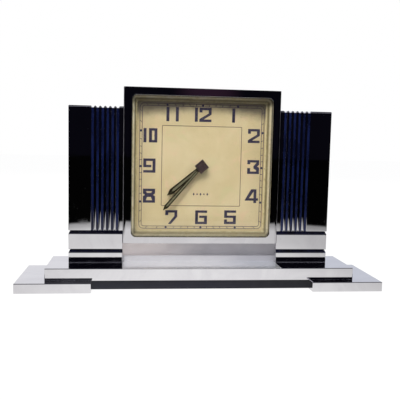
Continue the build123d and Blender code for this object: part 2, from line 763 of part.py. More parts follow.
def pivot_jewels():
    """Ruby rings that carry the pivots of the quick arbors, in both plates and the cock."""
    ring = Circle(JEWEL_OUTER) - Circle(JEWEL_PIVOT + RUN)
    jewels = [along_y(ring, FRONT_PLATE, place) for place in JEWELLED + (BALANCE,)]
    jewels += [along_y(ring, BACK_PLATE, place) for place in JEWELLED]
    jewels.append(along_y(ring, (BACK_PLATE[1], COCK_BACK), BALANCE))
    return jewels


def plate_pillars():
    pillars = []
    for place in PILLARS:
        pillar = rod(PILLAR_RADIUS, (FRONT_PLATE[1], BACK_PLATE[0]), place)
        pillar += rod(PILLAR_SCREW, FRONT_PLATE, place)
        pillar -= rod(PILLAR_SCREW, (12.4, BACK_PLATE[0] + 1), place)
        pillars.append(pillar)
    return pillars


def plate_screws():
    screws = []
    for place in PILLARS:
        screw = rod(1.7, (BACK_PLATE[1], BACK_PLATE[1] + 0.8), place)
        screw += rod(PILLAR_SCREW, (12.8, BACK_PLATE[1]), place)
        screw -= along_y(Rectangle(4.0, 0.4), (BACK_PLATE[1] + 0.4, BACK_PLATE[1] + 1), place)
        screws.append(screw)
    return screws


def bracket(inner, outer):
    """A steel strap from the front plate to a side wall, with its end turned back."""
    low, high = sorted((inner, outer))
    body = block(low, high, FRONT_PLATE[0] - BRACKET_THICK, FRONT_PLATE[0],
                 CENTRE_Z + PLATE_LOW + 3, CENTRE_Z + PLATE_HIGH - 3)
    wall = outer - math.copysign(BRACKET_THICK, outer)
    low, high = sorted((wall, outer))
    body += block(low, high, FRONT_PLATE[0] - BRACKET_THICK, WING_SCREW_Y + 4,
                  CENTRE_Z + PLATE_LOW + 3, CENTRE_Z + PLATE_HIGH - 3)
    for place in BRACKET_SCREWS:
        body -= rod(BRACKET_SCREW + RUN, (6, 10), place)
    for z in WING_SCREW_Z:
        hole = Pos(outer, WING_SCREW_Y, CENTRE_Z + z) * Rot(0, 90, 0)
        body -= hole * Cylinder(SCREW_RADIUS + HOLE, 5.0)
    return body


def movement_brackets():
    wall = CASE_HALF - CASE_WALL
    return [bracket(BRACKET_INNER, wall), bracket(PLATE_LEFT + 6.5, -wall)]


def bracket_screws():
    screws = []
    for place in BRACKET_SCREWS:
        screw = rod(1.6, (6.6, FRONT_PLATE[0] - BRACKET_THICK), place)
        screw += rod(BRACKET_SCREW, (7.3, FRONT_PLATE[1]), place)
        screws.append(screw)
    return screws


# ---- spring barrel and winding -------------------------------------------------------
BARREL_TOOTH_AT = gap_at(BARREL_TEETH, TO_BARREL + 180)
INTERMEDIATE_PINION_AT = TO_BARREL
ARBOR_CORE = 3.4
SQUARE_SIDE = 2.1
KEY_SPAN = (22.6, 29.0)
KEY_WING = 11.0
KEY_TUBE = 2.8
CLICK_POST = 0.8
CLICK_SPRING_AT = (-9.0, 9.2)
SPRING_PIN = 0.5


def barrel():
    body = along_y(toothed(BARREL_TEETH, BARREL_MODULE, BARREL_TOOTH_AT), BARREL_RIM, BARREL)
    body += rod(BARREL_OUTER, BARREL_DRUM, BARREL)
    body -= rod(BARREL_INNER, (BARREL_DRUM[0] + 0.5, BARREL_DRUM[1] + 1), BARREL)
    return body - rod(BARREL_PIVOT + RUN, (10, 17), BARREL)


def barrel_cover():
    disc = Circle(BARREL_INNER) - Circle(BARREL_PIVOT + RUN)
    return along_y(disc, (BARREL_DRUM[1] - 0.5, BARREL_DRUM[1]), BARREL)


def barrel_arbor():
    body = rod(1.0, (FRONT_PLATE[0], 10.2), BARREL)
    body += rod(BARREL_PIVOT, (10.0, BACK_PLATE[1]), BARREL)
    body += rod(ARBOR_CORE, (BARREL_DRUM[0] + 0.6, BARREL_DRUM[1] - 0.6), BARREL)
    body += along_y(Rectangle(SQUARE_SIDE, SQUARE_SIDE), (BACK_PLATE[1] - 0.2, 25.0), BARREL)
    return body


def mainspring():
    ribbon = spiral_ribbon(ARBOR_CORE + 0.4, BARREL_INNER - 0.35, 11, 0.3)
    return along_y(ribbon, (BARREL_DRUM[0] + 0.8, BARREL_DRUM[1] - 0.8), BARREL)


def ratchet_wheel():
    pitch = 360.0 / RATCHET_TEETH
    start = CLICK_NOSE_ANGLE - 0.06 * pitch
    points = []
    for tooth in range(RATCHET_TEETH):
        points.append(on_circle(RATCHET_TIP, start + tooth * pitch))
        points.append(on_circle(RATCHET_ROOT, start + (tooth + 0.04) * pitch))
    sketch = polygon(points) - Rectangle(SQUARE_SIDE, SQUARE_SIDE)
    return along_y(sketch, RATCHET, BARREL)


def winding_key():
    body = rod(KEY_TUBE, KEY_SPAN, BARREL)
    wing = RectangleRounded(2 * KEY_WING, 3.4, 1.6)
    body += along_y(wing, (24.6, KEY_SPAN[1]), BARREL)
    for side in (-1, 1):
        place = (BARREL[0] + side * 7.6, BARREL[1])
        body -= along_y(SlotOverall(4.6, 1.2), (24, 30), place)
    return body - along_y(Rectangle(SQUARE_SIDE, SQUARE_SIDE), (22, 25.0), BARREL)


def click_pivot_place():
    return (BARREL[0] + CLICK_PIVOT[0], BARREL[1] + CLICK_PIVOT[1])


def click_spring_place():
    return (BARREL[0] + CLICK_SPRING_AT[0], BARREL[1] + CLICK_SPRING_AT[1])


def click():
    nose = on_circle(RATCHET_ROOT + 0.16, CLICK_NOSE_ANGLE + 0.6)
    shoulder = (nose[0] + 0.75, nose[1] + 0.75)
    pivot = CLICK_PIVOT
    sketch = polygon([nose, shoulder, (pivot[0] + 1.5, pivot[1] + 0.2),
                      (pivot[0] - 1.0, pivot[1] - 1.1)])
    sketch += Pos(*pivot) * Circle(1.6)
    sketch += bar(pivot, (pivot[0] - 3.4, pivot[1] + 0.6), 1.8, 1.2)
    sketch -= Pos(*pivot) * Circle(CLICK_POST + RUN)
    return along_y(sketch, RATCHET, BARREL)


def click_screw():
    body = rod(CLICK_POST, (BACK_PLATE[0], RATCHET[1] + 0.1), click_pivot_place())
    head = rod(1.7, (RATCHET[1] + 0.1, RATCHET[1] + 0.7), click_pivot_place())
    return body + head


def click_spring():
    """A bent wire that presses the click's tail outwards, so that its nose stays down."""
    tail = (CLICK_PIVOT[0] - 3.2, CLICK_PIVOT[1] + 1.45)
    sketch = bar(CLICK_SPRING_AT, (CLICK_SPRING_AT[0] + 1.0, tail[1] + 0.2), 0.35, 0.35)
    sketch += bar((CLICK_SPRING_AT[0] + 0.9, tail[1] + 0.1), tail, 0.35, 0.3)
    sketch += Pos(*CLICK_SPRING_AT) * Circle(1.0)
    body = along_y(sketch, (RATCHET[0], RATCHET[1] - 0.2), BARREL)
    return body + rod(SPRING_PIN, (BACK_PLATE[0], RATCHET[0] + 0.1), click_spring_place())


# ---- going train ---------------------------------------------------------------------
CENTRE_PINION_AT = TO_INTERMEDIATE
INTERMEDIATE_TOOTH_AT = gap_at(INTERMEDIATE_TEETH, TO_INTERMEDIATE + 180)
CENTRE_TOOTH_AT = gap_at(CENTRE_TEETH, TO_THIRD)
THIRD_PINION_AT = TO_THIRD + 180
THIRD_TOOTH_AT = gap_at(THIRD_TEETH, TO_FOURTH)
FOURTH_PINION_AT = TO_FOURTH + 180
FOURTH_TOOTH_AT = gap_at(FOURTH_TEETH, TO_ESCAPE)
ESCAPE_PINION_AT = TO_ESCAPE + 180


def pinion_arbor(teeth, module, tooth_at, leaves, seat, wheel, at):
    """A steel arbor with leaves and a seat for its wheel, with a pivot at each end."""
    body = rod(JEWEL_PIVOT, (FRONT_PLATE[0] + 0.2, BACK_PLATE[1] - 0.2), at)
    body += rod(0.5, (FRONT_PLATE[1] + 0.15, BACK_PLATE[0] - 0.15), at)
    body += along_y(toothed(teeth, module, tooth_at), leaves, at)
    return body + rod(seat, (wheel[0] - 0.3, wheel[1] + 0.1), at)


def intermediate_pinion():
    return pinion_arbor(INTERMEDIATE_PINION, BARREL_MODULE, INTERMEDIATE_PINION_AT,
                        (11.1, 12.9), 0.9, INTERMEDIATE_WHEEL, INTERMEDIATE)


def intermediate_wheel():
    sketch = crossed_wheel(INTERMEDIATE_TEETH, INTERMEDIATE_MODULE, INTERMEDIATE_TOOTH_AT,
                           2.2, 0.9, 5)
    return along_y(sketch, INTERMEDIATE_WHEEL, INTERMEDIATE)


def centre_pinion():
    body = rod(CENTRE_PIVOT, (FRONT_PLATE[0], BACK_PLATE[1]))
    body += along_y(toothed(CENTRE_PINION, INTERMEDIATE_MODULE, CENTRE_PINION_AT), (10.0, 11.1))
    body += rod(1.6, (12.6, CENTRE_WHEEL[1] + 0.1))
    return body - rod(ARBOR_RADIUS + RUN, (8, 18))


def centre_wheel():
    sketch = crossed_wheel(CENTRE_TEETH, CENTRE_MODULE, CENTRE_TOOTH_AT, 2.6, 1.6, 5)
    return along_y(sketch, CENTRE_WHEEL)


def third_pinion():
    return pinion_arbor(THIRD_PINION, CENTRE_MODULE, THIRD_PINION_AT, (13.0, 14.2), 0.8,
                        THIRD_WHEEL, THIRD)


def third_wheel():
    sketch = crossed_wheel(THIRD_TEETH, THIRD_MODULE, THIRD_TOOTH_AT, 1.7, 0.8, 5)
    return along_y(sketch, THIRD_WHEEL, THIRD)


def fourth_pinion():
    return pinion_arbor(FOURTH_PINION, THIRD_MODULE, FOURTH_PINION_AT, (14.5, 15.5), 0.8,
                        FOURTH_WHEEL, FOURTH)


def fourth_wheel():
    sketch = crossed_wheel(FOURTH_TEETH, FOURTH_MODULE, FOURTH_TOOTH_AT, 1.7, 0.8, 5)
    return along_y(sketch, FOURTH_WHEEL, FOURTH)


def escape_pinion():
    return pinion_arbor(ESCAPE_PINION, FOURTH_MODULE, ESCAPE_PINION_AT, (11.8, 12.7), 0.6,
                        ESCAPE_WHEEL, ESCAPE)


def escape_wheel():
    pitch = 360.0 / ESCAPE_TEETH
    points = []
    for tooth in range(ESCAPE_TEETH):
        start = tooth * pitch
        points.append(on_circle(2.9, start))
        points.append(on_circle(ESCAPE_RADIUS - 0.15, start + 6.0))
        points.append(on_circle(ESCAPE_RADIUS, start + 9.0))
        points.append(on_circle(2.9, start + 7.0))
    sketch = polygon(points) - Circle(2.2) + Circle(1.1)
    for arm in range(4):
        sketch += bar(on_circle(0.8, arm * 90), on_circle(2.4, arm * 90), 0.5, 0.4)
    return along_y(sketch - Circle(0.6), ESCAPE_WHEEL, ESCAPE)


# ---- escapement and balance ----------------------------------------------------------
STONE_SPREAD = 30.0        # each side of the line from the escape arbor to the pallets
STONE_TIP = 4.45
STONE_BACK = 5.4
BALANCE_RIM = 8.0
STAFF = 0.35
COCK_FOOT = (7.5, 18.8)
COCK_SCREW = 0.9
REGULATOR_PIN = 8.5


def stone_place(side, radius):
    """A point on a pallet stone's line, from the pallet arbor."""
    on_wheel = step(ESCAPE, TO_PALLET + side * STONE_SPREAD, radius)
    return (on_wheel[0] - PALLET[0], on_wheel[1] - PALLET[1])


def pallet_lever():
    sketch = Circle(1.0)
    for side in (-1, 1):
        sketch += bar((0, 0), stone_place(side, STONE_BACK + 0.1), 0.9, 0.9)
    sketch += bar((0, 0), on_circle(6.2, TO_BALANCE), 1.0, 0.6)
    for side in (-1, 1):
        sketch += bar(on_circle(6.0, TO_BALANCE), (side * 0.55, 7.2), 0.5, 0.3)
    body = along_y(sketch, LEVER, PALLET)
    body += rod(0.5, (FRONT_PLATE[1] + 0.15, BACK_PLATE[0] - 0.15), PALLET)
    return body + rod(JEWEL_PIVOT, (FRONT_PLATE[0] + 0.2, BACK_PLATE[1] - 0.2), PALLET)


def pallet_stones():
    """Two ruby stones under the lever's arms, just outside the escape wheel's tips."""
    stones = []
    for side in (-1, 1):
        stone = bar(stone_place(side, STONE_TIP), stone_place(side, STONE_BACK + 0.3), 0.6, 0.6)
        stones.append(along_y(stone, (LEVER[1], LEVER[1] + 0.4), PALLET))
    return stones


def balance_wheel():
    sketch = Circle(BALANCE_RIM) - Circle(BALANCE_RIM - 1.0)
    sketch += bar((-BALANCE_RIM + 0.5, 0), (BALANCE_RIM - 0.5, 0), 1.2, 1.2)
    sketch += Circle(1.4)
    return along_y(sketch - Circle(0.8), BALANCE_WHEEL, BALANCE)


def balance_staff():
    body = rod(STAFF, (FRONT_PLATE[0] + 0.2, COCK_BACK - 0.2), BALANCE)
    body += rod(0.8, (BALANCE_WHEEL[0], BALANCE_WHEEL[1] + 0.3), BALANCE)
    body += rod(1.8, (14.2, 14.6), BALANCE)
    return body + rod(0.5, (14.0, BALANCE_WHEEL[0] + 0.2), BALANCE)


def hairspring():
    ribbon = spiral_ribbon(0.9, 5.0, 9, 0.12)
    body = along_y(ribbon, HAIRSPRING, BALANCE)
    stud = rod(0.35, (HAIRSPRING[0], BACK_PLATE[1]), (BALANCE[0] + 5.0, BALANCE[1]))
    return body + stud


def balance_cock():
    foot_from_balance = (COCK_FOOT[0] - BALANCE[0], COCK_FOOT[1] - BALANCE[1])
    sketch = bar((0, 0), foot_from_balance, 5.0, 6.5) + Circle(3.4)
    sketch += Pos(*foot_from_balance) * Circle(3.25)
    sketch += bar((0, 0), (5.4, 0), 3.0, 2.0)
    sketch -= Circle(JEWEL_OUTER)
    sketch -= Pos(*foot_from_balance) * Circle(COCK_SCREW + RUN)
    return along_y(sketch, (BACK_PLATE[1], COCK_BACK), BALANCE)


def cock_screw():
    body = rod(COCK_SCREW, (BACK_PLATE[0], COCK_BACK), COCK_FOOT)
    body += rod(1.8, (COCK_BACK, COCK_BACK + 0.7), COCK_FOOT)
    return body - along_y(Rectangle(4.0, 0.4), (COCK_BACK + 0.3, COCK_BACK + 1), COCK_FOOT)


def regulator():
    sketch = Circle(2.6) + bar((0, 1.0), (0, REGULATOR_PIN + 0.7), 1.8, 1.3)
    sketch -= Circle(1.5)
    body = along_y(sketch, (COCK_BACK + 0.05, COCK_BACK + 0.45), BALANCE)
    pin = (BALANCE[0], BALANCE[1] + REGULATOR_PIN)
    return body + rod(0.6, (COCK_BACK + 0.05, CASE_BACK + 0.8), pin)


def regulator_ring():
    """The screwed cap that the regulator turns on."""
    body = rod(1.45, (COCK_BACK, COCK_BACK + 0.5), BALANCE)
    return body + rod(2.1, (COCK_BACK + 0.5, COCK_BACK + 0.9), BALANCE)


# ---- write every sub-part ------------------------------------------------------------
PARTS = {
    "foot_left": lambda: mirrored(foot()),
    "foot_right": foot,
    "foot_pads": foot_pads,
    "foot_screws": foot_screws,
    "base_bar": base_bar,
    "base_slab": base_slab,
    "plinth": plinth,
    "tie_bolts": tie_bolts,
    "tie_nuts": tie_nuts,
    "wing_left": lambda: mirrored(wing_right()),
    "wing_right": wing_right,
    "wing_enamel_left": lambda: [mirrored(strip) for strip in wing_enamel_right()],
    "wing_enamel_right": wing_enamel_right,
    "wing_screws": wing_screws,
    "centre_case": centre_case,
    "bezel": bezel,
    "glass": glass,
    "glass_gasket": glass_gasket,
    "sight_frame": sight_frame,
    "rear_cover": rear_cover,
    "cover_screws": cover_screws,
    "dial": dial,
    "dial_feet": dial_feet,
    "minute_hand": minute_hand,
    "minute_hand_fill": minute_hand_fill,
    "hour_hand": hour_hand,
    "hour_hand_fill": hour_hand_fill,
    "hand_hub": hand_hub,
    "minute_arbor": minute_arbor,
    "cannon_pinion": cannon_pinion,
    "minute_wheel": minute_wheel,
    "hour_wheel": hour_wheel,
    "set_knob": set_knob,
    "front_plate": front_plate,
    "back_plate": back_plate,
    "pivot_jewels": pivot_jewels,
    "plate_pillars": plate_pillars,
    "plate_screws": plate_screws,
    "movement_brackets": movement_brackets,
    "bracket_screws": bracket_screws,
    "barrel": barrel,
    "barrel_cover": barrel_cover,
    "barrel_arbor": barrel_arbor,
    "mainspring": mainspring,
    "ratchet_wheel": ratchet_wheel,
    "winding_key": winding_key,
    "click": click,
    "click_screw": click_screw,
    "click_spring": click_spring,
    "intermediate_arbor": lambda: [intermediate_pinion(), intermediate_wheel()],
    "centre_arbor": lambda: [centre_pinion(), centre_wheel()],
    "third_arbor": lambda: [third_pinion(), third_wheel()],
    "fourth_arbor": lambda: [fourth_pinion(), fourth_wheel()],
    "escape_arbor": lambda: [escape_pinion(), escape_wheel()],
    "pallet_lever": lambda: [pallet_lever()] + pallet_stones(),
    "balance": lambda: [balance_wheel(), balance_staff()],
    "hairspring": hairspring,
    "balance_cock": lambda: [balance_cock(), cock_screw()],
    "regulator": regulator,
    "regulator_ring": regulator_ring,
}

os.makedirs("parts", exist_ok=True)
for name, make in PARTS.items():
    made = make()
    solids = []
    for piece in made if isinstance(made, list) else [made]:
        solids += list(piece.solids())
    shape = solids[0] if len(solids) == 1 else Compound(solids)
    export_step(shape, f"parts/{name}.step")
    print(name, len(solids))
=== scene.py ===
"""A chrome and blue enamel mantel clock: materials, finer pieces, studio, light and camera."""

import json
import math

import bmesh
import bpy
from mathutils import Matrix, Vector
from mathutils.geometry import tessellate_polygon

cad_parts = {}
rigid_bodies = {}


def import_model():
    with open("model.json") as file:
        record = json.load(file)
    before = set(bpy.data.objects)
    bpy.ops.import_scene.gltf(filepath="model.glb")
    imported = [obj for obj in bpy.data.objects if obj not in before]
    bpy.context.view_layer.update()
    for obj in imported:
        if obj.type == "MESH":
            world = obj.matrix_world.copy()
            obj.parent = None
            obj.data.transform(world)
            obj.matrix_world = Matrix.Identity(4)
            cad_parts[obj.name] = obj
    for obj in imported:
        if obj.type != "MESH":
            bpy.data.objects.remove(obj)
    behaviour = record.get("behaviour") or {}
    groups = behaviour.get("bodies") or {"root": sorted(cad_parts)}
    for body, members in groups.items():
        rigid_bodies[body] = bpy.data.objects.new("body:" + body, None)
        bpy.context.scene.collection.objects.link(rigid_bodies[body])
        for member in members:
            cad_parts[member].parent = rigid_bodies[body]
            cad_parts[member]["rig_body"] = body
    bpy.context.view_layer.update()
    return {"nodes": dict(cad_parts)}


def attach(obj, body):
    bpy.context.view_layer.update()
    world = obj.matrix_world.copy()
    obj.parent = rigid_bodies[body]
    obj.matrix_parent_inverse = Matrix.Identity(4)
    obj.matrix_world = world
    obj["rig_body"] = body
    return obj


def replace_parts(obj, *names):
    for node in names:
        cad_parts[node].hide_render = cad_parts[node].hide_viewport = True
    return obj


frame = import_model()

MM = 0.001

# ---- sizes, in millimetres -----------------------------------------------------------
CENTRE_Z = 85.1            # height of the dial's centre
OPENING_Z = 84.6           # height of the opening's centre
OPENING_CORNER = 46.65     # where the opening's sides start to round, from its centre
DIAL_FRONT = 5.6
CASE_HALF = 56.1
SLAB_TOP = 15.5
PLINTH_DULL = (19.2, 20.2)  # between these heights the pale foot, painted as the slab top's reflection, turns into dull plate
SLAB_REFLECTION_ENDS = (55.2, 56.2)  # the painted reflection on the slab's top ends between these, each side
SIGHT_STEP = 48.3          # the sight frame's step, darker along its line, from the opening's centre

WING_OUTER = 94.1
WING_TOP = 126.5
WING_FRONT = -1.4
WING_BACK = 14.6
WING_FOOT = 15.5
WING_EDGE = 0.35           # small round on the wings' polished edges
TOP_ROUND = 1.0            # round where the ribs turn over the top
FLUTE_CENTRES = [60.1 + 3.48 * place for place in range(6)]
FLUTE_HALF = 0.70
RIB_RISE = 1.15            # height of the ribs above the enamel
FLUTE_FLOOR = 1.65
RIB_HALF = 3.48 / 2 - FLUTE_HALF
BAND_GROOVES = ((36.3, 38.6), (22.8, 25.1))
BAND_DEPTH = 1.5
BAND_INSET = (0.1, 1.3)    # depth of the bands' sloping enamel, at its foot and its top
BAND_HOLLOW = 1.3          # above 1 the sloping enamel is hollow, not flat
COLUMN_FOOT = 38.6

DIGIT_WIDE = 8.8           # from here to INNER_SQUARE: the dial's print
DIGIT_HIGH = 10.2
UPRIGHT = 2.15             # stroke width of upright strokes
LEVEL = 1.8                # stroke width of level strokes
INK_THICK = 0.03
INK_SUNK = 0.02            # how far the print reaches into the dial
TRACK_OUTER = 45.1
TRACK_INNER = 43.4
TRACK_SHIFT = (0.45, -0.5)  # the minute track's centre, from the dial's centre
SQUARE_SHIFT = (0.3, 0.0)
TRACK_LINE = 0.42
INNER_SQUARE = 28.9
ORNAMENT_LEVEL = -20.3     # from the dial's centre

CAMERA_PLACE = (-47.935, -421.689, 104.438)
CAMERA_TURN = -6.3738      # degrees about the vertical
CAMERA_DOWN = 5.8364       # degrees below the horizon
CAMERA_ROLL = 1.2533
CAMERA_LENS = 53.1
CAMERA_SENSOR = 36.0
LIGHT_AIM = (0.0, 0.0, 0.08)  # metres, like the lights' places


# ---- shader helpers ------------------------------------------------------------------
def eased(tree, factor, low, high, low_value=0.0, high_value=1.0):
    """Values that ease from low_value to high_value as factor goes from low to high."""
    ranger = tree.nodes.new("ShaderNodeMapRange")
    ranger.interpolation_type = "SMOOTHSTEP"
    ranger.inputs["From Min"].default_value = low
    ranger.inputs["From Max"].default_value = high
    ranger.inputs["To Min"].default_value = low_value
    ranger.inputs["To Max"].default_value = high_value
    tree.links.new(factor, ranger.inputs["Value"])
    return ranger.outputs["Result"]


def calculated(tree, operation, first, second=None):
    """A Math node: first and second are sockets or numbers."""
    node = tree.nodes.new("ShaderNodeMath")
    node.operation = operation
    for place, value in enumerate((first, second)):
        if value is None:
            continue
        if isinstance(value, (int, float)):
            node.inputs[place].default_value = value
        else:
            tree.links.new(value, node.inputs[place])
    return node.outputs["Value"]


def mixed(tree, factor, first, second):
    """A colour between first and second, each a socket or a colour."""
    node = tree.nodes.new("ShaderNodeMix")
    node.data_type = "RGBA"
    tree.links.new(factor, node.inputs["Factor"])
    for name, value in (("A", first), ("B", second)):
        socket = [s for s in node.inputs if s.name == name and s.type == "RGBA"][0]
        if isinstance(value, tuple):
            socket.default_value = (*value, 1.0)
        else:
            tree.links.new(value, socket)
    return [s for s in node.outputs if s.type == "RGBA"][0]


def distance_from(tree, place, centre):
    """How far a place, or a direction's end, is from a fixed centre."""
    node = tree.nodes.new("ShaderNodeVectorMath")
    node.operation = "DISTANCE"
    node.inputs[1].default_value = centre
    tree.links.new(place, node.inputs[0])
    return node.outputs["Value"]


def parts_of(tree, vector):
    """A vector's X, Y and Z."""
    split = tree.nodes.new("ShaderNodeSeparateXYZ")
    tree.links.new(vector, split.inputs["Vector"])
    return split.outputs


# ---- materials -----------------------------------------------------------------------
class Finish:
    """A material while it is being built, with its Principled shader."""

    def __init__(self, name, colour, metallic=0.0, roughness=0.5):
        self.material = bpy.data.materials.new(name)
        self.material.use_nodes = True
        self.tree = self.material.node_tree
        self.nodes = self.tree.nodes
        self.shader = self.nodes["Principled BSDF"]
        self.shader.inputs["Base Color"].default_value = (*colour, 1.0)
        self.shader.inputs["Metallic"].default_value = metallic
        self.shader.inputs["Roughness"].default_value = roughness
        self.place = self.nodes.new("ShaderNodeTexCoord").outputs["Object"]
        self.normal = None

    def link(self, start, end):
        """Joins an output to an input."""
        self.tree.links.new(start, end)

    def stretched(self, scale):
        """The place on the piece, scaled differently along x, y and z."""
        mapping = self.nodes.new("ShaderNodeMapping")
        mapping.inputs["Scale"].default_value = scale
        self.link(self.place, mapping.inputs["Vector"])
        return mapping.outputs["Vector"]

    def noise(self, size, detail=3.0, rough=0.55, place=None, distort=0.0):
        """Noise whose features are about size millimetres across."""
        noise = self.nodes.new("ShaderNodeTexNoise")
        noise.inputs["Scale"].default_value = 1.0 / (size * MM)
        noise.inputs["Detail"].default_value = detail
        noise.inputs["Roughness"].default_value = rough
        noise.inputs["Distortion"].default_value = distort
        self.link(place or self.place, noise.inputs["Vector"])
        return noise.outputs["Fac"]

    def spots(self, size):
        """Distance to the nearest of scattered points, about size millimetres apart."""
        cells = self.nodes.new("ShaderNodeTexVoronoi")
        cells.inputs["Scale"].default_value = 1.0 / (size * MM)
        self.link(self.place, cells.inputs["Vector"])
        return cells.outputs["Distance"]

    def ramp(self, *values):
        """eased() among this material's nodes."""
        return eased(self.tree, *values)

    def maths(self, *values):
        """calculated() among this material's nodes."""
        return calculated(self.tree, *values)

    def mix(self, *values):
        """mixed() among this material's nodes."""
        return mixed(self.tree, *values)

    def scaled(self, value, factor):
        """A value times a number or another value."""
        return self.maths("MULTIPLY", value, factor)

    def axis(self, name):
        """One coordinate of the place on the piece, in metres."""
        return parts_of(self.tree, self.place)[name]

    def sideways(self):
        """The distance from the clock's middle plane, in metres."""
        return self.maths("ABSOLUTE", self.axis("X"))

    def above(self, height):
        """How far above a height in millimetres the place is, in metres."""
        return self.maths("SUBTRACT", self.axis("Z"), height * MM)

    def colour(self, socket):
        """Colours the material."""
        self.link(socket, self.shader.inputs["Base Color"])

    def metal(self, socket):
        """Makes the material metal where the value is 1."""
        self.link(socket, self.shader.inputs["Metallic"])

    def rough(self, socket):
        """Sets how rough the material is."""
        self.link(socket, self.shader.inputs["Roughness"])

    def bump(self, height, strength, distance):
        """Adds a bump of distance millimetres on top of those before it."""
        node = self.nodes.new("ShaderNodeBump")
        node.inputs["Strength"].default_value = strength
        node.inputs["Distance"].default_value = distance * MM
        self.link(height, node.inputs["Height"])
        if self.normal:
            self.link(self.normal, node.inputs["Normal"])
        self.normal = node.outputs["Normal"]
        self.link(self.normal, self.shader.inputs["Normal"])

    def set(self, **values):
        """Sets the shader's own sockets, named with _ for each blank."""
        for name, value in values.items():
            self.shader.inputs[name.replace("_", " ")].default_value = value


PIT = (0.09, 0.08, 0.09)


class Chrome(Finish):
    """Old chrome plate: mirror bright, with faint haze, fine rubbing and a slight wave."""

    def __init__(self, name):
        super().__init__(name, (0.84, 0.84, 0.88), 1.0, 0.03)
        self.haze = self.ramp(self.noise(24.0, 4.0, 0.6, distort=0.6), 0.35, 0.7)
        self.tint = self.mix(self.haze, (0.87, 0.865, 0.875), (0.80, 0.79, 0.81))
        self.gloss = self.ramp(self.noise(11.0, 5.0, 0.65), 0.45, 0.75, 0.018, 0.07)
        rubbing = self.noise(1.1, 2.0, 0.5, self.stretched((1.0, 1.0, 14.0)))
        self.bump(rubbing, 0.015, 0.010)
        self.bump(self.noise(30.0, 1.0, 0.4), 0.015, 0.06)

    def pits(self):
        """A few small pits, in groups."""
        pits = self.ramp(self.spots(3.2), 0.035, 0.06, 1.0, 0.0)
        return self.scaled(pits, self.ramp(self.noise(9.0), 0.52, 0.60))


def chrome_finish():
    """Chrome plate with a few dark, rough pits."""
    finish = Chrome("chrome_plate")
    pits = finish.pits()
    finish.colour(finish.mix(pits, finish.tint, PIT))
    finish.rough(finish.maths("ADD", finish.gloss, finish.scaled(pits, 0.5)))
    return finish.material


def bezel_finish():
    """The bezel plate: chrome, with a matt grey strip along the outer upright edges of its front
    as a painted highlight.
    """
    finish = Chrome("bezel_chrome")
    ragged = finish.scaled(finish.noise(3.0, 3.0, 0.6), 0.4 * MM)
    reach = finish.maths("ADD", finish.sideways(), ragged)
    # painted highlight: a matt grey strip, rougher and less metal, along the outer upright edges
    # stands in for their bright edge line
    edge = finish.ramp(reach, (CASE_HALF - 0.25) * MM, (CASE_HALF - 0.05) * MM)
    finish.colour(finish.mix(edge, finish.tint, (0.30, 0.30, 0.33)))
    finish.metal(finish.ramp(edge, 0.0, 1.0, 1.0, 0.3))
    finish.rough(finish.maths("ADD", finish.gloss, finish.scaled(edge, 0.4)))
    return finish.material


def satin_chrome_finish():
    """The plinth: dull plate above a pale, matt foot painted as the slab top's reflection; a
    warm painted highlight at the left and painted shade towards the right.
    """
    finish = Finish("satin_chrome", (0.70, 0.70, 0.72), 0.9, 0.30)
    haze = finish.ramp(finish.noise(18.0, 4.0, 0.6, distort=0.6), 0.35, 0.7)
    across = finish.axis("X")
    grey = finish.mix(haze, (0.60, 0.58, 0.61), (0.54, 0.53, 0.56))
    # painted highlight: the upper plate turns warm white towards the left
    upper = finish.mix(finish.ramp(across, 0.010, -0.045), grey, (1.0, 0.92, 0.90))
    # painted reflection: the pale, matt foot stands in for the slab's top mirrored in the
    # plinth; painted shade darkens it towards the right
    pale = finish.mix(haze, (0.86, 0.86, 0.90), (0.80, 0.80, 0.84))
    pale = finish.mix(finish.ramp(across, 0.000, 0.045, 0.0, 0.7), pale, (0.56, 0.56, 0.63))
    plate = finish.ramp(finish.axis("Z"), PLINTH_DULL[0] * MM, PLINTH_DULL[1] * MM)
    finish.colour(finish.mix(plate, pale, upper))
    finish.metal(plate)
    finish.rough(finish.ramp(finish.noise(7.0, 4.0), 0.3, 0.7, 0.30, 0.40))
    finish.bump(finish.noise(0.6, 2.0, 0.5, finish.stretched((1.0, 1.0, 8.0))), 0.04, 0.006)
    return finish.material


def slab_finish():
    """The slab: chrome plate, with a pale, duller painted reflection on its top in front of the
    plinth, darker towards the right.
    """
    finish = Chrome("slab_chrome")
    # painted reflection: a pale, duller patch on the slab's top stands in for the plinth's pale
    # foot mirrored there; painted shade darkens it towards the right
    painted_reflection = finish.mix(finish.haze, (0.98, 0.98, 1.0), (0.93, 0.94, 0.98))
    right = finish.ramp(finish.axis("X"), 0.000, 0.045, 0.0, 0.8)
    painted_reflection = finish.mix(right, painted_reflection, (0.76, 0.80, 0.86))
    on_top = finish.ramp(finish.axis("Z"), (SLAB_TOP - 0.25) * MM, (SLAB_TOP - 0.10) * MM)
    middle = finish.ramp(finish.sideways(), SLAB_REFLECTION_ENDS[0] * MM, SLAB_REFLECTION_ENDS[1] * MM, 1.0, 0.0)
    reflection_zone = finish.scaled(on_top, middle)
    finish.colour(finish.mix(finish.pits(), finish.mix(reflection_zone, finish.tint, painted_reflection), PIT))
    finish.metal(finish.ramp(reflection_zone, 0.0, 1.0, 1.0, 0.45))
    finish.rough(finish.gloss)
    return finish.material


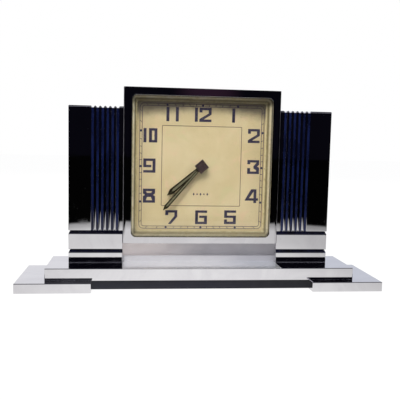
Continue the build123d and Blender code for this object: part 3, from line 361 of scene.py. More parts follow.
def enamel_finish(name, deep, light):
    """Glossy enamel, deeper and lighter in places."""
    finish = Finish(name, deep, 0.0, 0.16)
    cloud = finish.noise(7.0, 3.0, 0.55, finish.stretched((1.0, 1.0, 0.25)))
    blue = finish.mix(finish.ramp(cloud, 0.35, 0.65), deep, light)
    chips = finish.ramp(finish.spots(2.6), 0.03, 0.05, 1.0, 0.0)
    chips = finish.scaled(chips, finish.ramp(finish.noise(5.0), 0.56, 0.62))
    finish.colour(finish.mix(chips, blue, (0.35, 0.38, 0.46)))
    finish.rough(finish.ramp(finish.noise(2.0), 0.3, 0.7, 0.10, 0.24))
    finish.set(Coat_Weight=0.6, Coat_Roughness=0.06, Specular_IOR_Level=0.55)
    finish.bump(finish.noise(1.3, 3.0), 0.20, 0.04)
    return finish.material


def lacquer_finish():
    """Satin navy lacquer on the base bar, slightly orange-peeled and rubbed, with painted shade
    towards the right.
    """
    finish = Finish("navy_lacquer", (0.012, 0.014, 0.032), 0.0, 0.35)
    cloud = finish.noise(14.0, 4.0, 0.6)
    navy = finish.mix(cloud, (0.005, 0.0055, 0.012), (0.012, 0.014, 0.028))
    # painted shade: the navy darkens towards the right
    right = finish.ramp(finish.axis("X"), 0.0, 0.06, 0.0, 0.85)
    finish.colour(finish.mix(right, navy, (0.001, 0.0015, 0.005)))
    finish.rough(finish.ramp(finish.noise(5.0), 0.3, 0.7, 0.28, 0.46))
    finish.set(Coat_Weight=0.20, Coat_Roughness=0.24, Specular_IOR_Level=0.40)
    finish.bump(finish.noise(0.5, 2.0), 0.25, 0.02)
    return finish.material


def felt_finish():
    """Dark green felt with a short nap."""
    finish = Finish("foot_felt", (0.03, 0.055, 0.035), 0.0, 0.95)
    fibre = finish.noise(0.35, 5.0, 0.75, finish.stretched((1.0, 1.6, 1.0)))
    finish.colour(finish.mix(fibre, (0.015, 0.03, 0.02), (0.07, 0.11, 0.07)))
    finish.set(Sheen_Weight=0.5, Sheen_Roughness=0.5)
    finish.bump(fibre, 0.8, 0.15)
    return finish.material


def glass_finish():
    """Clear sheet glass with faint smears and a very slight wave."""
    finish = Finish("clock_glass", (1.0, 1.0, 1.0), 0.0, 0.0)
    finish.rough(finish.ramp(finish.noise(18.0, 5.0, 0.7), 0.55, 0.9, 0.0, 0.012))
    finish.set(Transmission_Weight=1.0, IOR=1.45)
    finish.bump(finish.noise(25.0, 1.0), 0.02, 0.05)
    return finish.material


def gasket_finish():
    """Black sealing strip, dusty in places."""
    finish = Finish("gasket_strip", (0.03, 0.03, 0.025), 0.0, 0.75)
    dust = finish.noise(1.6, 5.0, 0.7)
    finish.colour(finish.mix(finish.ramp(dust, 0.45, 0.75), (0.018, 0.018, 0.015),
                             (0.12, 0.11, 0.07)))
    finish.bump(dust, 0.4, 0.05)
    return finish.material


def sight_finish():
    """The sight frame: aged cream, darker along its step, stained at the bottom and in spots,
    with painted shadow round its outer edge and along its top and painted shade on the right of
    its outer strip.
    """
    finish = Finish("sight_gilt", (0.60, 0.56, 0.36), 0.15, 0.48)
    # From the opening's centre, in metres, as the ramps below are.
    up = finish.above(OPENING_Z)
    down = finish.scaled(up, -1.0)
    squares = []
    for reach in (finish.sideways(), finish.maths("ABSOLUTE", up)):
        over = finish.maths("SUBTRACT", reach, OPENING_CORNER * MM)
        squares.append(finish.maths("POWER", finish.maths("MAXIMUM", over, 0.0), 2.0))
    beyond = finish.maths("SQRT", finish.maths("ADD", *squares))
    rim = finish.maths("ADD", beyond, OPENING_CORNER * MM)
    ragged = finish.scaled(finish.noise(2.5, 4.0, 0.7), 0.6 * MM)
    frayed = finish.maths("ADD", rim, ragged)

    age = finish.ramp(finish.noise(6.0, 6.0, 0.7, distort=0.8), 0.38, 0.66)
    inner = finish.mix(age, (0.80, 0.73, 0.46), (0.62, 0.55, 0.31))
    outer = finish.mix(age, (0.97, 0.93, 0.72), (0.80, 0.74, 0.50))
    # painted shade: the outer strip darkens towards the right side
    right = finish.ramp(finish.axis("X"), 0.000, 0.045, 0.0, 0.75)
    outer = finish.mix(right, outer, (0.56, 0.50, 0.33))
    strips = finish.mix(finish.ramp(rim, 0.0480, 0.0483), inner, outer)
    from_step = finish.maths("ABSOLUTE", finish.maths("SUBTRACT", frayed, SIGHT_STEP * MM))
    along_step = finish.ramp(from_step, 0.0001, 0.0011, 0.85, 0.0)
    bottom = finish.scaled(finish.ramp(down, 0.0455, 0.0486, 0.35, 0.85),
                           finish.ramp(up, -0.0450, -0.0440, 1.0, 0.0))
    # painted shade: the top of the frame darkens as if under the bezel's top
    top = finish.ramp(up, 0.0440, 0.0465, 0.0, 0.62)
    # painted shadow: a dark line round the frame's outer edge, beside the gasket
    outside = finish.ramp(frayed, 0.0497, 0.0504, 0.0, 0.9)
    spots = finish.ramp(finish.noise(1.6, 4.0, 0.7), 0.57, 0.68, 0.0, 0.7)
    for where, dirt_and_shade in (
        (along_step, (0.15, 0.12, 0.045)),
        (bottom, (0.15, 0.13, 0.06)),
        (top, (0.10, 0.09, 0.065)),
        (outside, (0.05, 0.045, 0.03)),
        (spots, (0.25, 0.21, 0.11)),
    ):
        strips = finish.mix(where, strips, dirt_and_shade)
    finish.colour(strips)
    finish.rough(finish.ramp(age, 0.0, 1.0, 0.42, 0.62))
    finish.bump(finish.noise(0.25, 3.0, 0.6), 0.3, 0.02)
    return finish.material


def dial_finish():
    """Aged cream paint: clouded and foxed, browned by stains and painted shade towards the
    edges, with a painted shadow along the top that is darkest at the corners.
    """
    finish = Finish("dial_paint", (0.78, 0.66, 0.38), 0.0, 0.55)
    cloud = finish.noise(34.0, 5.0, 0.6, distort=0.5)
    cream = finish.mix(finish.ramp(cloud, 0.35, 0.68), (0.69, 0.59, 0.36), (0.63, 0.525, 0.295))
    warm = finish.ramp(finish.noise(16.0, 3.0, 0.6, distort=1.2), 0.52, 0.72)
    green = finish.ramp(finish.noise(23.0, 2.0, 0.5, distort=0.8), 0.55, 0.75)
    # From the dial's centre, in metres, as the ramps below are.
    across = finish.sideways()
    up = finish.above(CENTRE_Z)
    rim = finish.maths("MAXIMUM", across, finish.maths("ABSOLUTE", up))
    ragged = finish.scaled(finish.noise(5.0, 5.0, 0.7), 6.0 * MM)
    # stain and painted shade: the dial browns towards its edges, most where it meets the sight
    # frame
    edge = finish.ramp(finish.maths("ADD", rim, ragged), 0.0455, 0.0510, 0.0, 0.62)
    margin_stain_and_shade = finish.ramp(rim, 0.031, 0.044, 0.0, 0.28)
    # painted shadow: the dial's top, and its upper corners most, darkens as if shaded by the
    # bezel's top
    shadow_reach = finish.maths("ADD", up, finish.scaled(across, 0.16))
    top = finish.ramp(finish.maths("ADD", shadow_reach, ragged), 0.0415, 0.0513, 0.0, 0.85)
    foxing = finish.ramp(finish.spots(3.4), 0.05, 0.13, 1.0, 0.0)
    foxing = finish.scaled(foxing, finish.ramp(finish.noise(10.0), 0.50, 0.60))
    for where, stain_and_shade in (
        (finish.scaled(warm, 0.75), (0.74, 0.55, 0.36)),
        (finish.scaled(green, 0.65), (0.60, 0.56, 0.30)),
        (edge, (0.40, 0.31, 0.13)),
        (margin_stain_and_shade, (0.46, 0.39, 0.22)),
        (top, (0.115, 0.10, 0.075)),
        (finish.scaled(foxing, 0.45), (0.33, 0.25, 0.12)),
    ):
        cream = finish.mix(where, cream, stain_and_shade)
    finish.colour(cream)
    finish.rough(finish.ramp(finish.noise(3.0), 0.3, 0.7, 0.48, 0.66))
    finish.bump(finish.noise(0.6, 4.0, 0.7), 0.15, 0.02)
    return finish.material


def ink_finish(name, dark, light):
    """Printed ink, thinner in places so that the paint shows through a little."""
    finish = Finish(name, dark, 0.0, 0.5)
    thin = finish.noise(1.4, 5.0, 0.75)
    finish.colour(finish.mix(finish.ramp(thin, 0.42, 0.78), dark, light))
    finish.rough(finish.ramp(thin, 0.3, 0.7, 0.42, 0.6))
    return finish.material


def bronze_finish():
    """Dark bronze on the hands, brighter where it is rubbed."""
    finish = Finish("hand_bronze", (0.14, 0.12, 0.07), 0.75, 0.36)
    rub = finish.noise(1.8, 5.0, 0.65)
    finish.colour(finish.mix(finish.ramp(rub, 0.4, 0.7), (0.014, 0.012, 0.006),
                             (0.06, 0.05, 0.025)))
    finish.rough(finish.ramp(rub, 0.3, 0.7, 0.30, 0.5))
    finish.bump(finish.noise(0.4, 3.0), 0.3, 0.02)
    return finish.material


def hand_fill_finish():
    """Grainy grey-green compound in the hands' slots."""
    finish = Finish("hand_fill", (0.16, 0.15, 0.08), 0.0, 0.85)
    grain = finish.noise(0.45, 5.0, 0.75)
    finish.colour(finish.mix(grain, (0.11, 0.105, 0.055), (0.27, 0.255, 0.16)))
    finish.bump(grain, 0.7, 0.06)
    return finish.material


def hub_finish():
    """Dark brown lacquer on the square hub, flaked at the corners."""
    finish = Finish("hub_lacquer", (0.035, 0.022, 0.026), 0.2, 0.42)
    flakes = finish.noise(1.1, 5.0, 0.7)
    finish.colour(finish.mix(finish.ramp(flakes, 0.45, 0.72), (0.030, 0.018, 0.022),
                             (0.115, 0.075, 0.06)))
    finish.rough(finish.ramp(flakes, 0.3, 0.7, 0.36, 0.6))
    finish.bump(flakes, 0.3, 0.04)
    return finish.material


def metal_finish(name, bright, dull, roughness, grain, stretch=(1.0, 1.0, 1.0)):
    """Worked metal: a directional grain, patchy tarnish and a slightly uneven gloss."""
    finish = Finish(name, bright, 1.0, roughness)
    patches = finish.noise(9.0, 5.0, 0.65, distort=0.5)
    finish.colour(finish.mix(finish.ramp(patches, 0.40, 0.72), bright, dull))
    lines = finish.noise(grain, 3.0, 0.6, finish.stretched(stretch))
    finish.rough(finish.ramp(lines, 0.25, 0.75, roughness * 0.75, roughness * 1.35))
    finish.bump(lines, 0.35, 0.012)
    return finish.material


def ruby_finish():
    """Polished synthetic ruby."""
    finish = Finish("pivot_ruby", (0.55, 0.02, 0.08), 0.0, 0.08)
    depth = finish.noise(0.5, 2.0)
    finish.colour(finish.mix(depth, (0.42, 0.01, 0.05), (0.68, 0.05, 0.12)))
    finish.set(Coat_Weight=0.8, Coat_Roughness=0.03)
    return finish.material


MATERIALS = {
    "chrome": chrome_finish(),
    "blue_enamel": enamel_finish("blue_enamel", (0.0035, 0.0065, 0.034), (0.010, 0.018, 0.086)),
    "navy_lacquer": lacquer_finish(),
    "felt": felt_finish(),
    "glass": glass_finish(),
    "gasket": gasket_finish(),
    "gilt": sight_finish(),
    "dial_face": dial_finish(),
    "bronze_hand": bronze_finish(),
    "hand_fill": hand_fill_finish(),
    "dark_hub": hub_finish(),
    "brass": metal_finish("machined_brass", (0.80, 0.62, 0.30), (0.55, 0.40, 0.17), 0.26,
                          0.5, (1.0, 1.0, 9.0)),
    "steel": metal_finish("bright_steel", (0.66, 0.66, 0.67), (0.44, 0.43, 0.42), 0.24,
                          0.35, (6.0, 1.0, 1.0)),
    "blued_steel": metal_finish("blued_steel", (0.10, 0.15, 0.36), (0.09, 0.08, 0.20), 0.25,
                                0.4),
    "ruby": ruby_finish(),
    "back_cover": metal_finish("brushed_nickel", (0.66, 0.65, 0.62), (0.50, 0.47, 0.41), 0.30,
                               0.5, (0.08, 1.0, 3.0)),
}
# Finishes of single pieces, beside or instead of their slot's finish.
# painted shade: a darker copy of the blue enamel for the band grooves, where shade falls
SHADED_GROOVE_ENAMEL = enamel_finish("shaded_groove_enamel", (0.002, 0.002, 0.006), (0.004, 0.005, 0.020))
SPECIAL = {
    "bezel": bezel_finish(),
    "plinth": satin_chrome_finish(),
    "base_slab": slab_finish(),
}
NUMERAL_INK = ink_finish("numeral_ink", (0.020, 0.017, 0.050), (0.090, 0.075, 0.120))
LINE_INK = ink_finish("line_ink", (0.040, 0.030, 0.065), (0.120, 0.085, 0.100))
FINE_INK = ink_finish("fine_ink", (0.085, 0.050, 0.050), (0.190, 0.125, 0.095))

for node in frame["nodes"].values():
    for place, old in enumerate(node.data.materials):
        node.data.materials[place] = MATERIALS[old.name]


# ---- mesh tools ----------------------------------------------------------------------
ROUND_SEGMENTS = 3


def finished_piece(name, bm, material, body, sharp_angle=35.0):
    """An object made from bm, smooth except where faces meet at more than sharp_angle."""
    bmesh.ops.recalc_face_normals(bm, faces=bm.faces)
    for face in bm.faces:
        face.smooth = True
    for edge in bm.edges:
        flat = len(edge.link_faces) == 2
        edge.smooth = flat and edge.calc_face_angle(0.0) < math.radians(sharp_angle)
    mesh = bpy.data.meshes.new(name)
    bm.to_mesh(mesh)
    bm.free()
    mesh.materials.append(material)
    piece = bpy.data.objects.new(name, mesh)
    bpy.context.scene.collection.objects.link(piece)
    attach(piece, body)
    return piece


def even_shading(piece, weight):
    """Shades flat faces flat and lets only the rounds between them turn."""
    shading = piece.modifiers.new("even_shading", "WEIGHTED_NORMAL")
    shading.mode = "FACE_AREA"
    shading.weight = weight
    shading.keep_sharp = True


def node_facts(node):
    """A CAD node's body, and the material slot that the record gives it."""
    obj = frame["nodes"][node]
    finish = obj.data.materials[0]
    slot = [name for name, material in MATERIALS.items() if material == finish][0]
    return obj["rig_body"], slot


def welded(node):
    """A CAD node's shape with its faces joined up and its flat faces made whole."""
    bm = bmesh.new()
    bm.from_mesh(frame["nodes"][node].data)
    bmesh.ops.remove_doubles(bm, verts=bm.verts, dist=0.002 * MM)
    bmesh.ops.dissolve_limit(bm, angle_limit=math.radians(0.3), verts=bm.verts, edges=bm.edges)
    return bm


def rounded_copy(node, radius):
    """A finer copy of a CAD node, with its sharp edges rounded, which stands for it."""
    body, slot = node_facts(node)
    material = SPECIAL.get(node, MATERIALS[slot])
    piece = finished_piece("fine_" + node, welded(node), material, body, 180.0)
    bevel = piece.modifiers.new("edge_round", "BEVEL")
    bevel.width = radius * MM
    bevel.segments = ROUND_SEGMENTS
    bevel.limit_method = "ANGLE"
    bevel.angle_limit = math.radians(32.0)
    even_shading(piece, 100)
    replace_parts(piece, node)
    return piece


def add_box(bm, low, high, radius=0.0, side=1):
    """A box from low to high in millimetres, with rounded edges."""
    corners = []
    for x in (low[0], high[0]):
        for y in (low[1], high[1]):
            for z in (low[2], high[2]):
                corners.append(bm.verts.new((side * x * MM, y * MM, z * MM)))
    sides = ((0, 1, 3, 2), (4, 6, 7, 5), (0, 4, 5, 1), (2, 3, 7, 6), (0, 2, 6, 4), (1, 5, 7, 3))
    faces = [bm.faces.new([corners[place] for place in around]) for around in sides]
    if radius:
        edges = list(dict.fromkeys(edge for face in faces for edge in face.edges))
        bmesh.ops.bevel(bm, geom=edges, offset=radius * MM, segments=ROUND_SEGMENTS,
                        profile=0.5, affect="EDGES")


def add_sweep(bm, section, stations, side=1):
    """A closed section carried along stations; each turns a section point into a place."""
    rings = []
    for station in stations:
        ring = []
        for point in section:
            x, y, z = station(point)
            ring.append(bm.verts.new((side * x * MM, y * MM, z * MM)))
        rings.append(ring)
    count = len(section)
    for first, second in zip(rings, rings[1:]):
        for place in range(count):
            following = (place + 1) % count
            bm.faces.new((first[place], first[following], second[following], second[place]))
    bm.faces.new(rings[0])
    bm.faces.new(rings[-1])


def add_print(bm, loops):
    """A flat printed shape: its outline, then its holes, measured from the dial's centre."""
    outlines = [[Vector((x, z, 0.0)) for x, z in loop] for loop in loops]
    fronts = []
    backs = []
    for outline in outlines:
        for point in outline:
            place = (point.x * MM, (DIAL_FRONT - INK_THICK) * MM, (CENTRE_Z + point.y) * MM)
            fronts.append(bm.verts.new(place))
            backs.append(bm.verts.new((place[0], (DIAL_FRONT + INK_SUNK) * MM, place[2])))
    for triangle in tessellate_polygon(outlines):
        bm.faces.new([fronts[corner] for corner in triangle])
    start = 0
    for outline in outlines:
        count = len(outline)
        for place in range(count):
            here = start + place
            following = start + (place + 1) % count
            bm.faces.new((fronts[here], fronts[following], backs[following], backs[here]))
        start += count


# ---- wings ---------------------------------------------------------------------------
LAST_RIB = ((0.10, 0.45), (0.22, 0.12), (0.42, 0.0))  # beyond its flute, and its depth
RIB_STEPS = 16
ENAMEL_DISH = 0.10         # how much the enamel is sunk in its middle
ENAMEL_STEPS = 8
HIDDEN_LAP = 0.02          # how far a hidden edge runs into or stays off its neighbour
GROOVE_LAP = 0.6


def arc_steps(count):
    """Angles of a quarter turn, ends left out."""
    return [math.pi / 2 * step / count for step in range(1, count)]


TURN_ANGLES = [0.0] + arc_steps(8) + [math.pi / 2]
BACKWARD = (5.0, 10.0)     # steps along the wing's top


def wing_columns():
    """The wing's face across: its place, its depth, and what it belongs to."""
    columns = [(CASE_HALF, 0.0, "flat")]
    first = FLUTE_CENTRES[0] - FLUTE_HALF
    columns.append((first - RIB_RISE, 0.0, "flat"))
    for angle in arc_steps(6):
        columns.append((first - RIB_RISE * (1 - math.sin(angle)),
                        RIB_RISE * (1 - math.cos(angle)), "flat"))
    for place, centre in enumerate(FLUTE_CENTRES):
        columns.append((centre - FLUTE_HALF, RIB_RISE, "groove"))
        columns.append((centre - FLUTE_HALF, FLUTE_FLOOR, "groove"))
        columns.append((centre + FLUTE_HALF, FLUTE_FLOOR, "groove"))
        columns.append((centre + FLUTE_HALF, RIB_RISE, "groove"))
        if place + 1 < len(FLUTE_CENTRES):
            middle = centre + FLUTE_HALF + RIB_HALF
            for step in range(1, RIB_STEPS):
                angle = math.pi * step / RIB_STEPS
                columns.append((middle - RIB_HALF * math.cos(angle),
                                RIB_RISE * (1 - math.sin(angle)), middle))
    last = FLUTE_CENTRES[-1] + FLUTE_HALF
    for beyond, depth in LAST_RIB:
        columns.append((last + beyond, depth, "flat"))
    columns.append((WING_OUTER - WING_EDGE, 0.0, "flat"))
    for angle in arc_steps(4) + [math.pi / 2]:
        columns.append((WING_OUTER - WING_EDGE * (1 - math.sin(angle)),
                        WING_EDGE * (1 - math.cos(angle)), "flat"))
    return columns


def foot_depth(x, depth, kind, rise):
    """The face's depth where it rounds off, rise above the column's foot."""
    if kind == "groove":
        return depth
    if kind == "flat":
        if rise >= WING_EDGE:
            return depth
        return depth + WING_EDGE - math.sqrt(WING_EDGE ** 2 - (WING_EDGE - rise) ** 2)
    if rise >= RIB_HALF:
        return depth
    across = (x - kind) / RIB_HALF
    down = 1 - rise / RIB_HALF
    left = max(0.0, 1 - across ** 2 - down ** 2)
    return RIB_RISE * (1 - math.sqrt(left))


def over_top(depth, angle):
    """Where a line at a depth below the ribs turns over the wing's top, as y and z."""
    corner = max(TOP_ROUND, depth + HIDDEN_LAP)
    reach = corner - depth
    return (WING_FRONT + corner - reach * math.cos(angle),
            WING_TOP - corner + reach * math.sin(angle))


def add_column(bm, side):
    """The fluted upper part of a wing, whose ribs turn over the top to the back."""
    columns = wing_columns()
    rises = [0.0, 0.03, 0.09, 0.18, 0.27, 0.35, 0.5, 0.65, 0.8, 0.95, 1.165, 1.6]
    heights = [COLUMN_FOOT + rise for rise in rises]
    heights += [60.0, 90.0, 110.0]
    grid = []
    for x, depth, kind in columns:
        line = []
        for z in heights:
            behind = foot_depth(x, depth, kind, z - COLUMN_FOOT)
            line.append((x, WING_FRONT + behind, z))
        for angle in TURN_ANGLES:
            line.append((x, *over_top(depth, angle)))
        for y in (*BACKWARD, WING_BACK):
            line.append((x, y, WING_TOP - depth))
        grid.append([bm.verts.new((side * px * MM, py * MM, pz * MM)) for px, py, pz in line])
    for first, second in zip(grid, grid[1:]):
        for place in range(len(first) - 1):
            bm.faces.new((first[place], first[place + 1], second[place + 1], second[place]))
    inner_back = bm.verts.new((side * CASE_HALF * MM, WING_BACK * MM, COLUMN_FOOT * MM))
    outer_back = bm.verts.new((side * WING_OUTER * MM, WING_BACK * MM, COLUMN_FOOT * MM))
    bm.faces.new(grid[0] + [inner_back])
    bm.faces.new(grid[-1] + [outer_back])
    bm.faces.new([line[-1] for line in grid] + [outer_back, inner_back])
    bm.faces.new([line[0] for line in grid] + [outer_back, inner_back])


def fluted_wing(side, name):
    """The upper part of a wing, down to the first band groove."""
    bm = bmesh.new()
    add_column(bm, side)
    piece = finished_piece(name, bm, MATERIALS["chrome"], "root", 40.0)
    even_shading(piece, 50)
    return piece


def wing_bands(side, name):
    """The two bands at a wing's foot, and its core in the shallow grooves."""
    bm = bmesh.new()
    upper, lower = BAND_GROOVES
    inner = CASE_HALF
    for low, high in ((lower[1], upper[0]), (WING_FOOT, lower[0])):
        add_box(bm, (inner, WING_FRONT, low), (WING_OUTER, WING_BACK, high), WING_EDGE, side)
    for low, high in BAND_GROOVES:
        add_box(bm, (inner, WING_FRONT + BAND_DEPTH, low - GROOVE_LAP),
                (WING_OUTER - BAND_DEPTH, WING_BACK, high + GROOVE_LAP), 0.0, side)
    piece = finished_piece(name, bm, MATERIALS["chrome"], "root", 40.0)
    even_shading(piece, 100)
    return piece


def front_station(z):
    """Stations carry a section's place across and depth to a place on the wing."""
    return lambda point: (point[0], WING_FRONT + point[1], z)


def round_station(angle):
    """The station at an angle of the turn from the wing's front to its top."""
    return lambda point: (point[0], *over_top(point[1], angle))


def top_station(y):
    """The station so far back on the wing's top."""
    return lambda point: (point[0], y, WING_TOP - point[1])


def flute_enamel(side, name):
    """Enamel in the flutes, sunk a little in the middle."""
    bm = bmesh.new()
    stations = [front_station(z) for z in (COLUMN_FOOT + HIDDEN_LAP, 60.0, 90.0)]
    stations += [round_station(angle) for angle in TURN_ANGLES]
    stations += [top_station(y) for y in (*BACKWARD, WING_BACK - 0.05)]
    for centre in FLUTE_CENTRES:
        section = []
        for step in range(ENAMEL_STEPS + 1):
            across = 2 * step / ENAMEL_STEPS - 1
            section.append((centre + FLUTE_HALF * across,
                            RIB_RISE + ENAMEL_DISH * (1 - across ** 2)))
        section.append((centre + FLUTE_HALF, FLUTE_FLOOR - HIDDEN_LAP))
        section.append((centre - FLUTE_HALF, FLUTE_FLOOR - HIDDEN_LAP))
        add_sweep(bm, section, stations, side)
    return finished_piece(name, bm, MATERIALS["blue_enamel"], "root")


def band_enamel(side, name):
    """Sloping enamel in the two bands' grooves, darkened as painted shade, mitred round the
    outer corner.
    """
    bm = bmesh.new()
    turns = [
        lambda point: (CASE_HALF, WING_FRONT + point[0], point[1]),
        lambda point: (WING_OUTER - point[0], WING_FRONT + point[0], point[1]),
        lambda point: (WING_OUTER - point[0], WING_BACK, point[1]),
    ]
    for low, high in BAND_GROOVES:
        section = []
        for step in range(ENAMEL_STEPS + 1):
            rise = step / ENAMEL_STEPS
            inset = BAND_INSET[0] + (BAND_INSET[1] - BAND_INSET[0]) * rise ** BAND_HOLLOW
            section.append((inset, low + (high - low) * rise))
        section.append((BAND_DEPTH - HIDDEN_LAP, high))
        section.append((BAND_DEPTH - HIDDEN_LAP, low))
        add_sweep(bm, section, turns, side)
    return finished_piece(name, bm, SHADED_GROOVE_ENAMEL, "root")


for side, word in ((-1, "left"), (1, "right")):
    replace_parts(fluted_wing(side, "fluted_wing_" + word), "wing_" + word)
    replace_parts(wing_bands(side, "wing_bands_" + word), "wing_" + word)
    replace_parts(flute_enamel(side, "flute_enamel_" + word), "wing_enamel_" + word)
    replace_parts(band_enamel(side, "band_enamel_" + word), "wing_enamel_" + word)


# ---- printed dial --------------------------------------------------------------------
def outline(points, width, height=DIGIT_HIGH):
    """Points given as shares of a cell's width and height, in millimetres."""
    return [(x * width, z * height) for x, z in points]


def digit(name):
    """A digit's width and its loops, from the bottom left corner of its cell."""
    wide, high = DIGIT_WIDE, DIGIT_HIGH
    u = UPRIGHT / wide
    t = LEVEL / high
    if name == "1":
        return UPRIGHT, [outline([(0, 0), (0, 1), (1, 1), (1, 0)], UPRIGHT)]
    if name == "0":
        narrow = 6.0
        u = UPRIGHT / narrow
        ring = [(0, 0), (0, 1), (1, 1), (1, 0)]
        hole = [(u, t), (u, 1 - t), (1 - u, 1 - t), (1 - u, t)]
        return narrow, [outline(ring, narrow), outline(hole, narrow)]
    if name == "2":
        shape = [(0, 1), (1, 1), (1, 0.52), (0.36, t), (1, t), (1, 0), (0, 0), (0, 0.20),
                 (1 - u, 0.60), (1 - u, 1 - t), (u, 1 - t), (u, 0.66), (0, 0.66)]
        return wide, [outline(shape, wide)]
    if name == "3":
        shape = [(0, 1), (1, 1), (1, 0.68), (0.83, 0.54), (1, 0.46), (1, 0), (0, 0), (0, 0.42),
                 (u, 0.42), (u, t), (1 - u, t), (1 - u, 0.26), (0.52, 0.40), (0.52, 0.56),
                 (0.78, 1 - t), (u, 1 - t), (u, 0.70), (0, 0.70)]
        return wide, [outline(shape, wide)]
    if name == "4":
        wide = 10.0
        shape = [(0.46, 1), (0.86, 1), (0.86, 0.35), (1, 0.35), (1, 0.17), (0.86, 0.17),
                 (0.86, 0), (0.65, 0), (0.65, 0.17), (0, 0.17), (0, 0.22)]
        hole = [(0.32, 0.35), (0.65, 0.35), (0.65, 0.84)]
        return wide, [outline(shape, wide), outline(hole, wide)]
    if name == "5":
        shape = [(0, 1), (1, 1), (1, 1 - t), (u, 1 - t), (u, 0.62), (1, 0.62), (1, 0), (0, 0),
                 (0, 0.34), (u, 0.34), (u, t), (1 - u, t), (1 - u, 0.45), (0, 0.45)]
        return wide, [outline(shape, wide)]
    if name == "6" or name == "9":
        shape = [(0, 0), (0, 1), (1, 1), (1, 1 - t), (u, 1 - t), (u, t), (1 - u, t),
                 (1 - u, 0.45), (0.34, 0.45), (0.34, 0.62), (1, 0.62), (1, 0)]
        if name == "9":
            shape = [(1 - x, 1 - z) for x, z in shape]
        return wide, [outline(shape, wide)]
    if name == "7":
        shape = [(0, 1), (1, 1), (1, 0.53), (0.47, 0), (0.22, 0), (1 - u, 0.58), (1 - u, 1 - t),
                 (u, 1 - t), (u, 0.64), (0, 0.64)]
        return wide, [outline(shape, wide)]
    shape = [(0, 0), (0, 0.46), (0.17, 0.56), (0, 0.66), (0, 1), (1, 1), (1, 0.66),
             (0.83, 0.56), (1, 0.46), (1, 0)]
    upper = [(u, 1 - t), (1 - u, 1 - t), (0.66, 0.70), (0.34, 0.70)]
    lower = [(0.34, 0.41), (0.66, 0.41), (1 - u, t), (u, t)]
    return wide, [outline(shape, wide), outline(upper, wide), outline(lower, wide)]


def numeral(name, hour, left, low, gap):
    """An hour numeral whose digits start at left, low from the dial's centre."""
    bm = bmesh.new()
    start = left
    for figure in name:
        width, loops = digit(figure)
        moved = [[(x + start, z + low) for x, z in loop] for loop in loops]
        add_print(bm, moved)
        start += width + gap
    return finished_piece("numeral_" + hour, bm, NUMERAL_INK, "root")


NUMERALS = [
    ("12", "twelve", -5.3, 32.1, 1.15),
    ("1", "one", 21.9, 32.1, 0.0),
    ("2", "two", 33.9, 17.7, 0.0),
    ("3", "three", 34.1, -4.9, 0.0),
    ("4", "four", 32.9, -26.4, 0.0),
    ("5", "five", 17.9, -42.2, 0.0),
    ("6", "six", -3.6, -42.4, 0.0),
    ("7", "seven", -25.5, -42.4, 0.0),
    ("8", "eight", -41.9, -26.9, 0.0),
    ("9", "nine", -41.9, -5.1, 0.0),
    ("10", "ten", -42.0, 16.6, 1.8),
    ("11", "eleven", -25.8, 32.0, 4.6),
]
for name, hour, left, low, gap in NUMERALS:
    numeral(name, hour, left, low, gap)


def square_loop(half, round_corner):
    """A square round the dial's centre with rounded corners."""
    loop = []
    for turn in range(4):
        for step in range(7):
            angle = math.pi / 2 * (turn + step / 6)
            corner = math.pi / 2 * turn + math.pi / 4
            centre = (half - round_corner) * math.sqrt(2)
            loop.append((centre * math.cos(corner) + round_corner * math.cos(angle),
                         centre * math.sin(corner) + round_corner * math.sin(angle)))
    return loop


def add_square_line(bm, half, width, round_corner):
    """A square line round the dial's centre, twice half wide."""
    outer = square_loop(half + width / 2, round_corner)
    inner = square_loop(half - width / 2, round_corner - width)
    add_print(bm, [outer, inner])


def add_radial_mark(bm, degrees, width, inner, outer):
    """A mark that points at the dial's centre, between two squares round it."""
    angle = math.radians(degrees)
    along = Vector((math.sin(angle), math.cos(angle)))
    stretch = 1 / max(abs(along.x), abs(along.y))
    start = along * inner * stretch
    end = along * outer * stretch
    aside = Vector((0.0, width / 2)) if abs(along.x) > abs(along.y) else Vector((width / 2, 0.0))
    add_print(bm, [[tuple(start - aside), tuple(start + aside), tuple(end + aside),
                    tuple(end - aside)]])


def add_dot(bm, degrees, half, reach):
    """A small lozenge where a ray from the centre meets a square."""
    angle = math.radians(degrees)
    stretch = half / max(abs(math.sin(angle)), abs(math.cos(angle)))
    x = math.sin(angle) * stretch
    z = math.cos(angle) * stretch
    corners = []
    for step in range(8):
        turn = math.pi / 4 * step
        spread = reach * (0.85 if step % 2 else 1.0)
        corners.append((x + spread * math.cos(turn), z + spread * math.sin(turn)))
    add_print(bm, [corners])


def shift_print(bm, shift):
    """Moves a print across the dial, millimetres to the right and up."""
    bmesh.ops.translate(bm, verts=bm.verts, vec=(shift[0] * MM, 0.0, shift[1] * MM))


def minute_track():
    """Two square lines with a stroke for each minute, and a lozenge for every fifth."""
    bm = bmesh.new()
    add_square_line(bm, TRACK_OUTER, TRACK_LINE, 3.4)
    add_square_line(bm, TRACK_INNER, TRACK_LINE, 2.0)
    for minute in range(60):
        if minute % 5:
            add_radial_mark(bm, 6 * minute, TRACK_LINE, TRACK_INNER + 0.1, TRACK_OUTER - 0.1)
    shift_print(bm, TRACK_SHIFT)
    finished_piece("minute_track", bm, LINE_INK, "root")
    bm = bmesh.new()
    middle = (TRACK_INNER + TRACK_OUTER) / 2
    for hour in range(12):
        add_dot(bm, 30 * hour, middle, 0.95)
    shift_print(bm, TRACK_SHIFT)
    finished_piece("five_minute_marks", bm, NUMERAL_INK, "root")


def inner_square():
    """The fine square line round the hands."""
    bm = bmesh.new()
    add_square_line(bm, INNER_SQUARE, TRACK_LINE, 0.8)
    shift_print(bm, SQUARE_SHIFT)
    finished_piece("inner_square_line", bm, FINE_INK, "root")


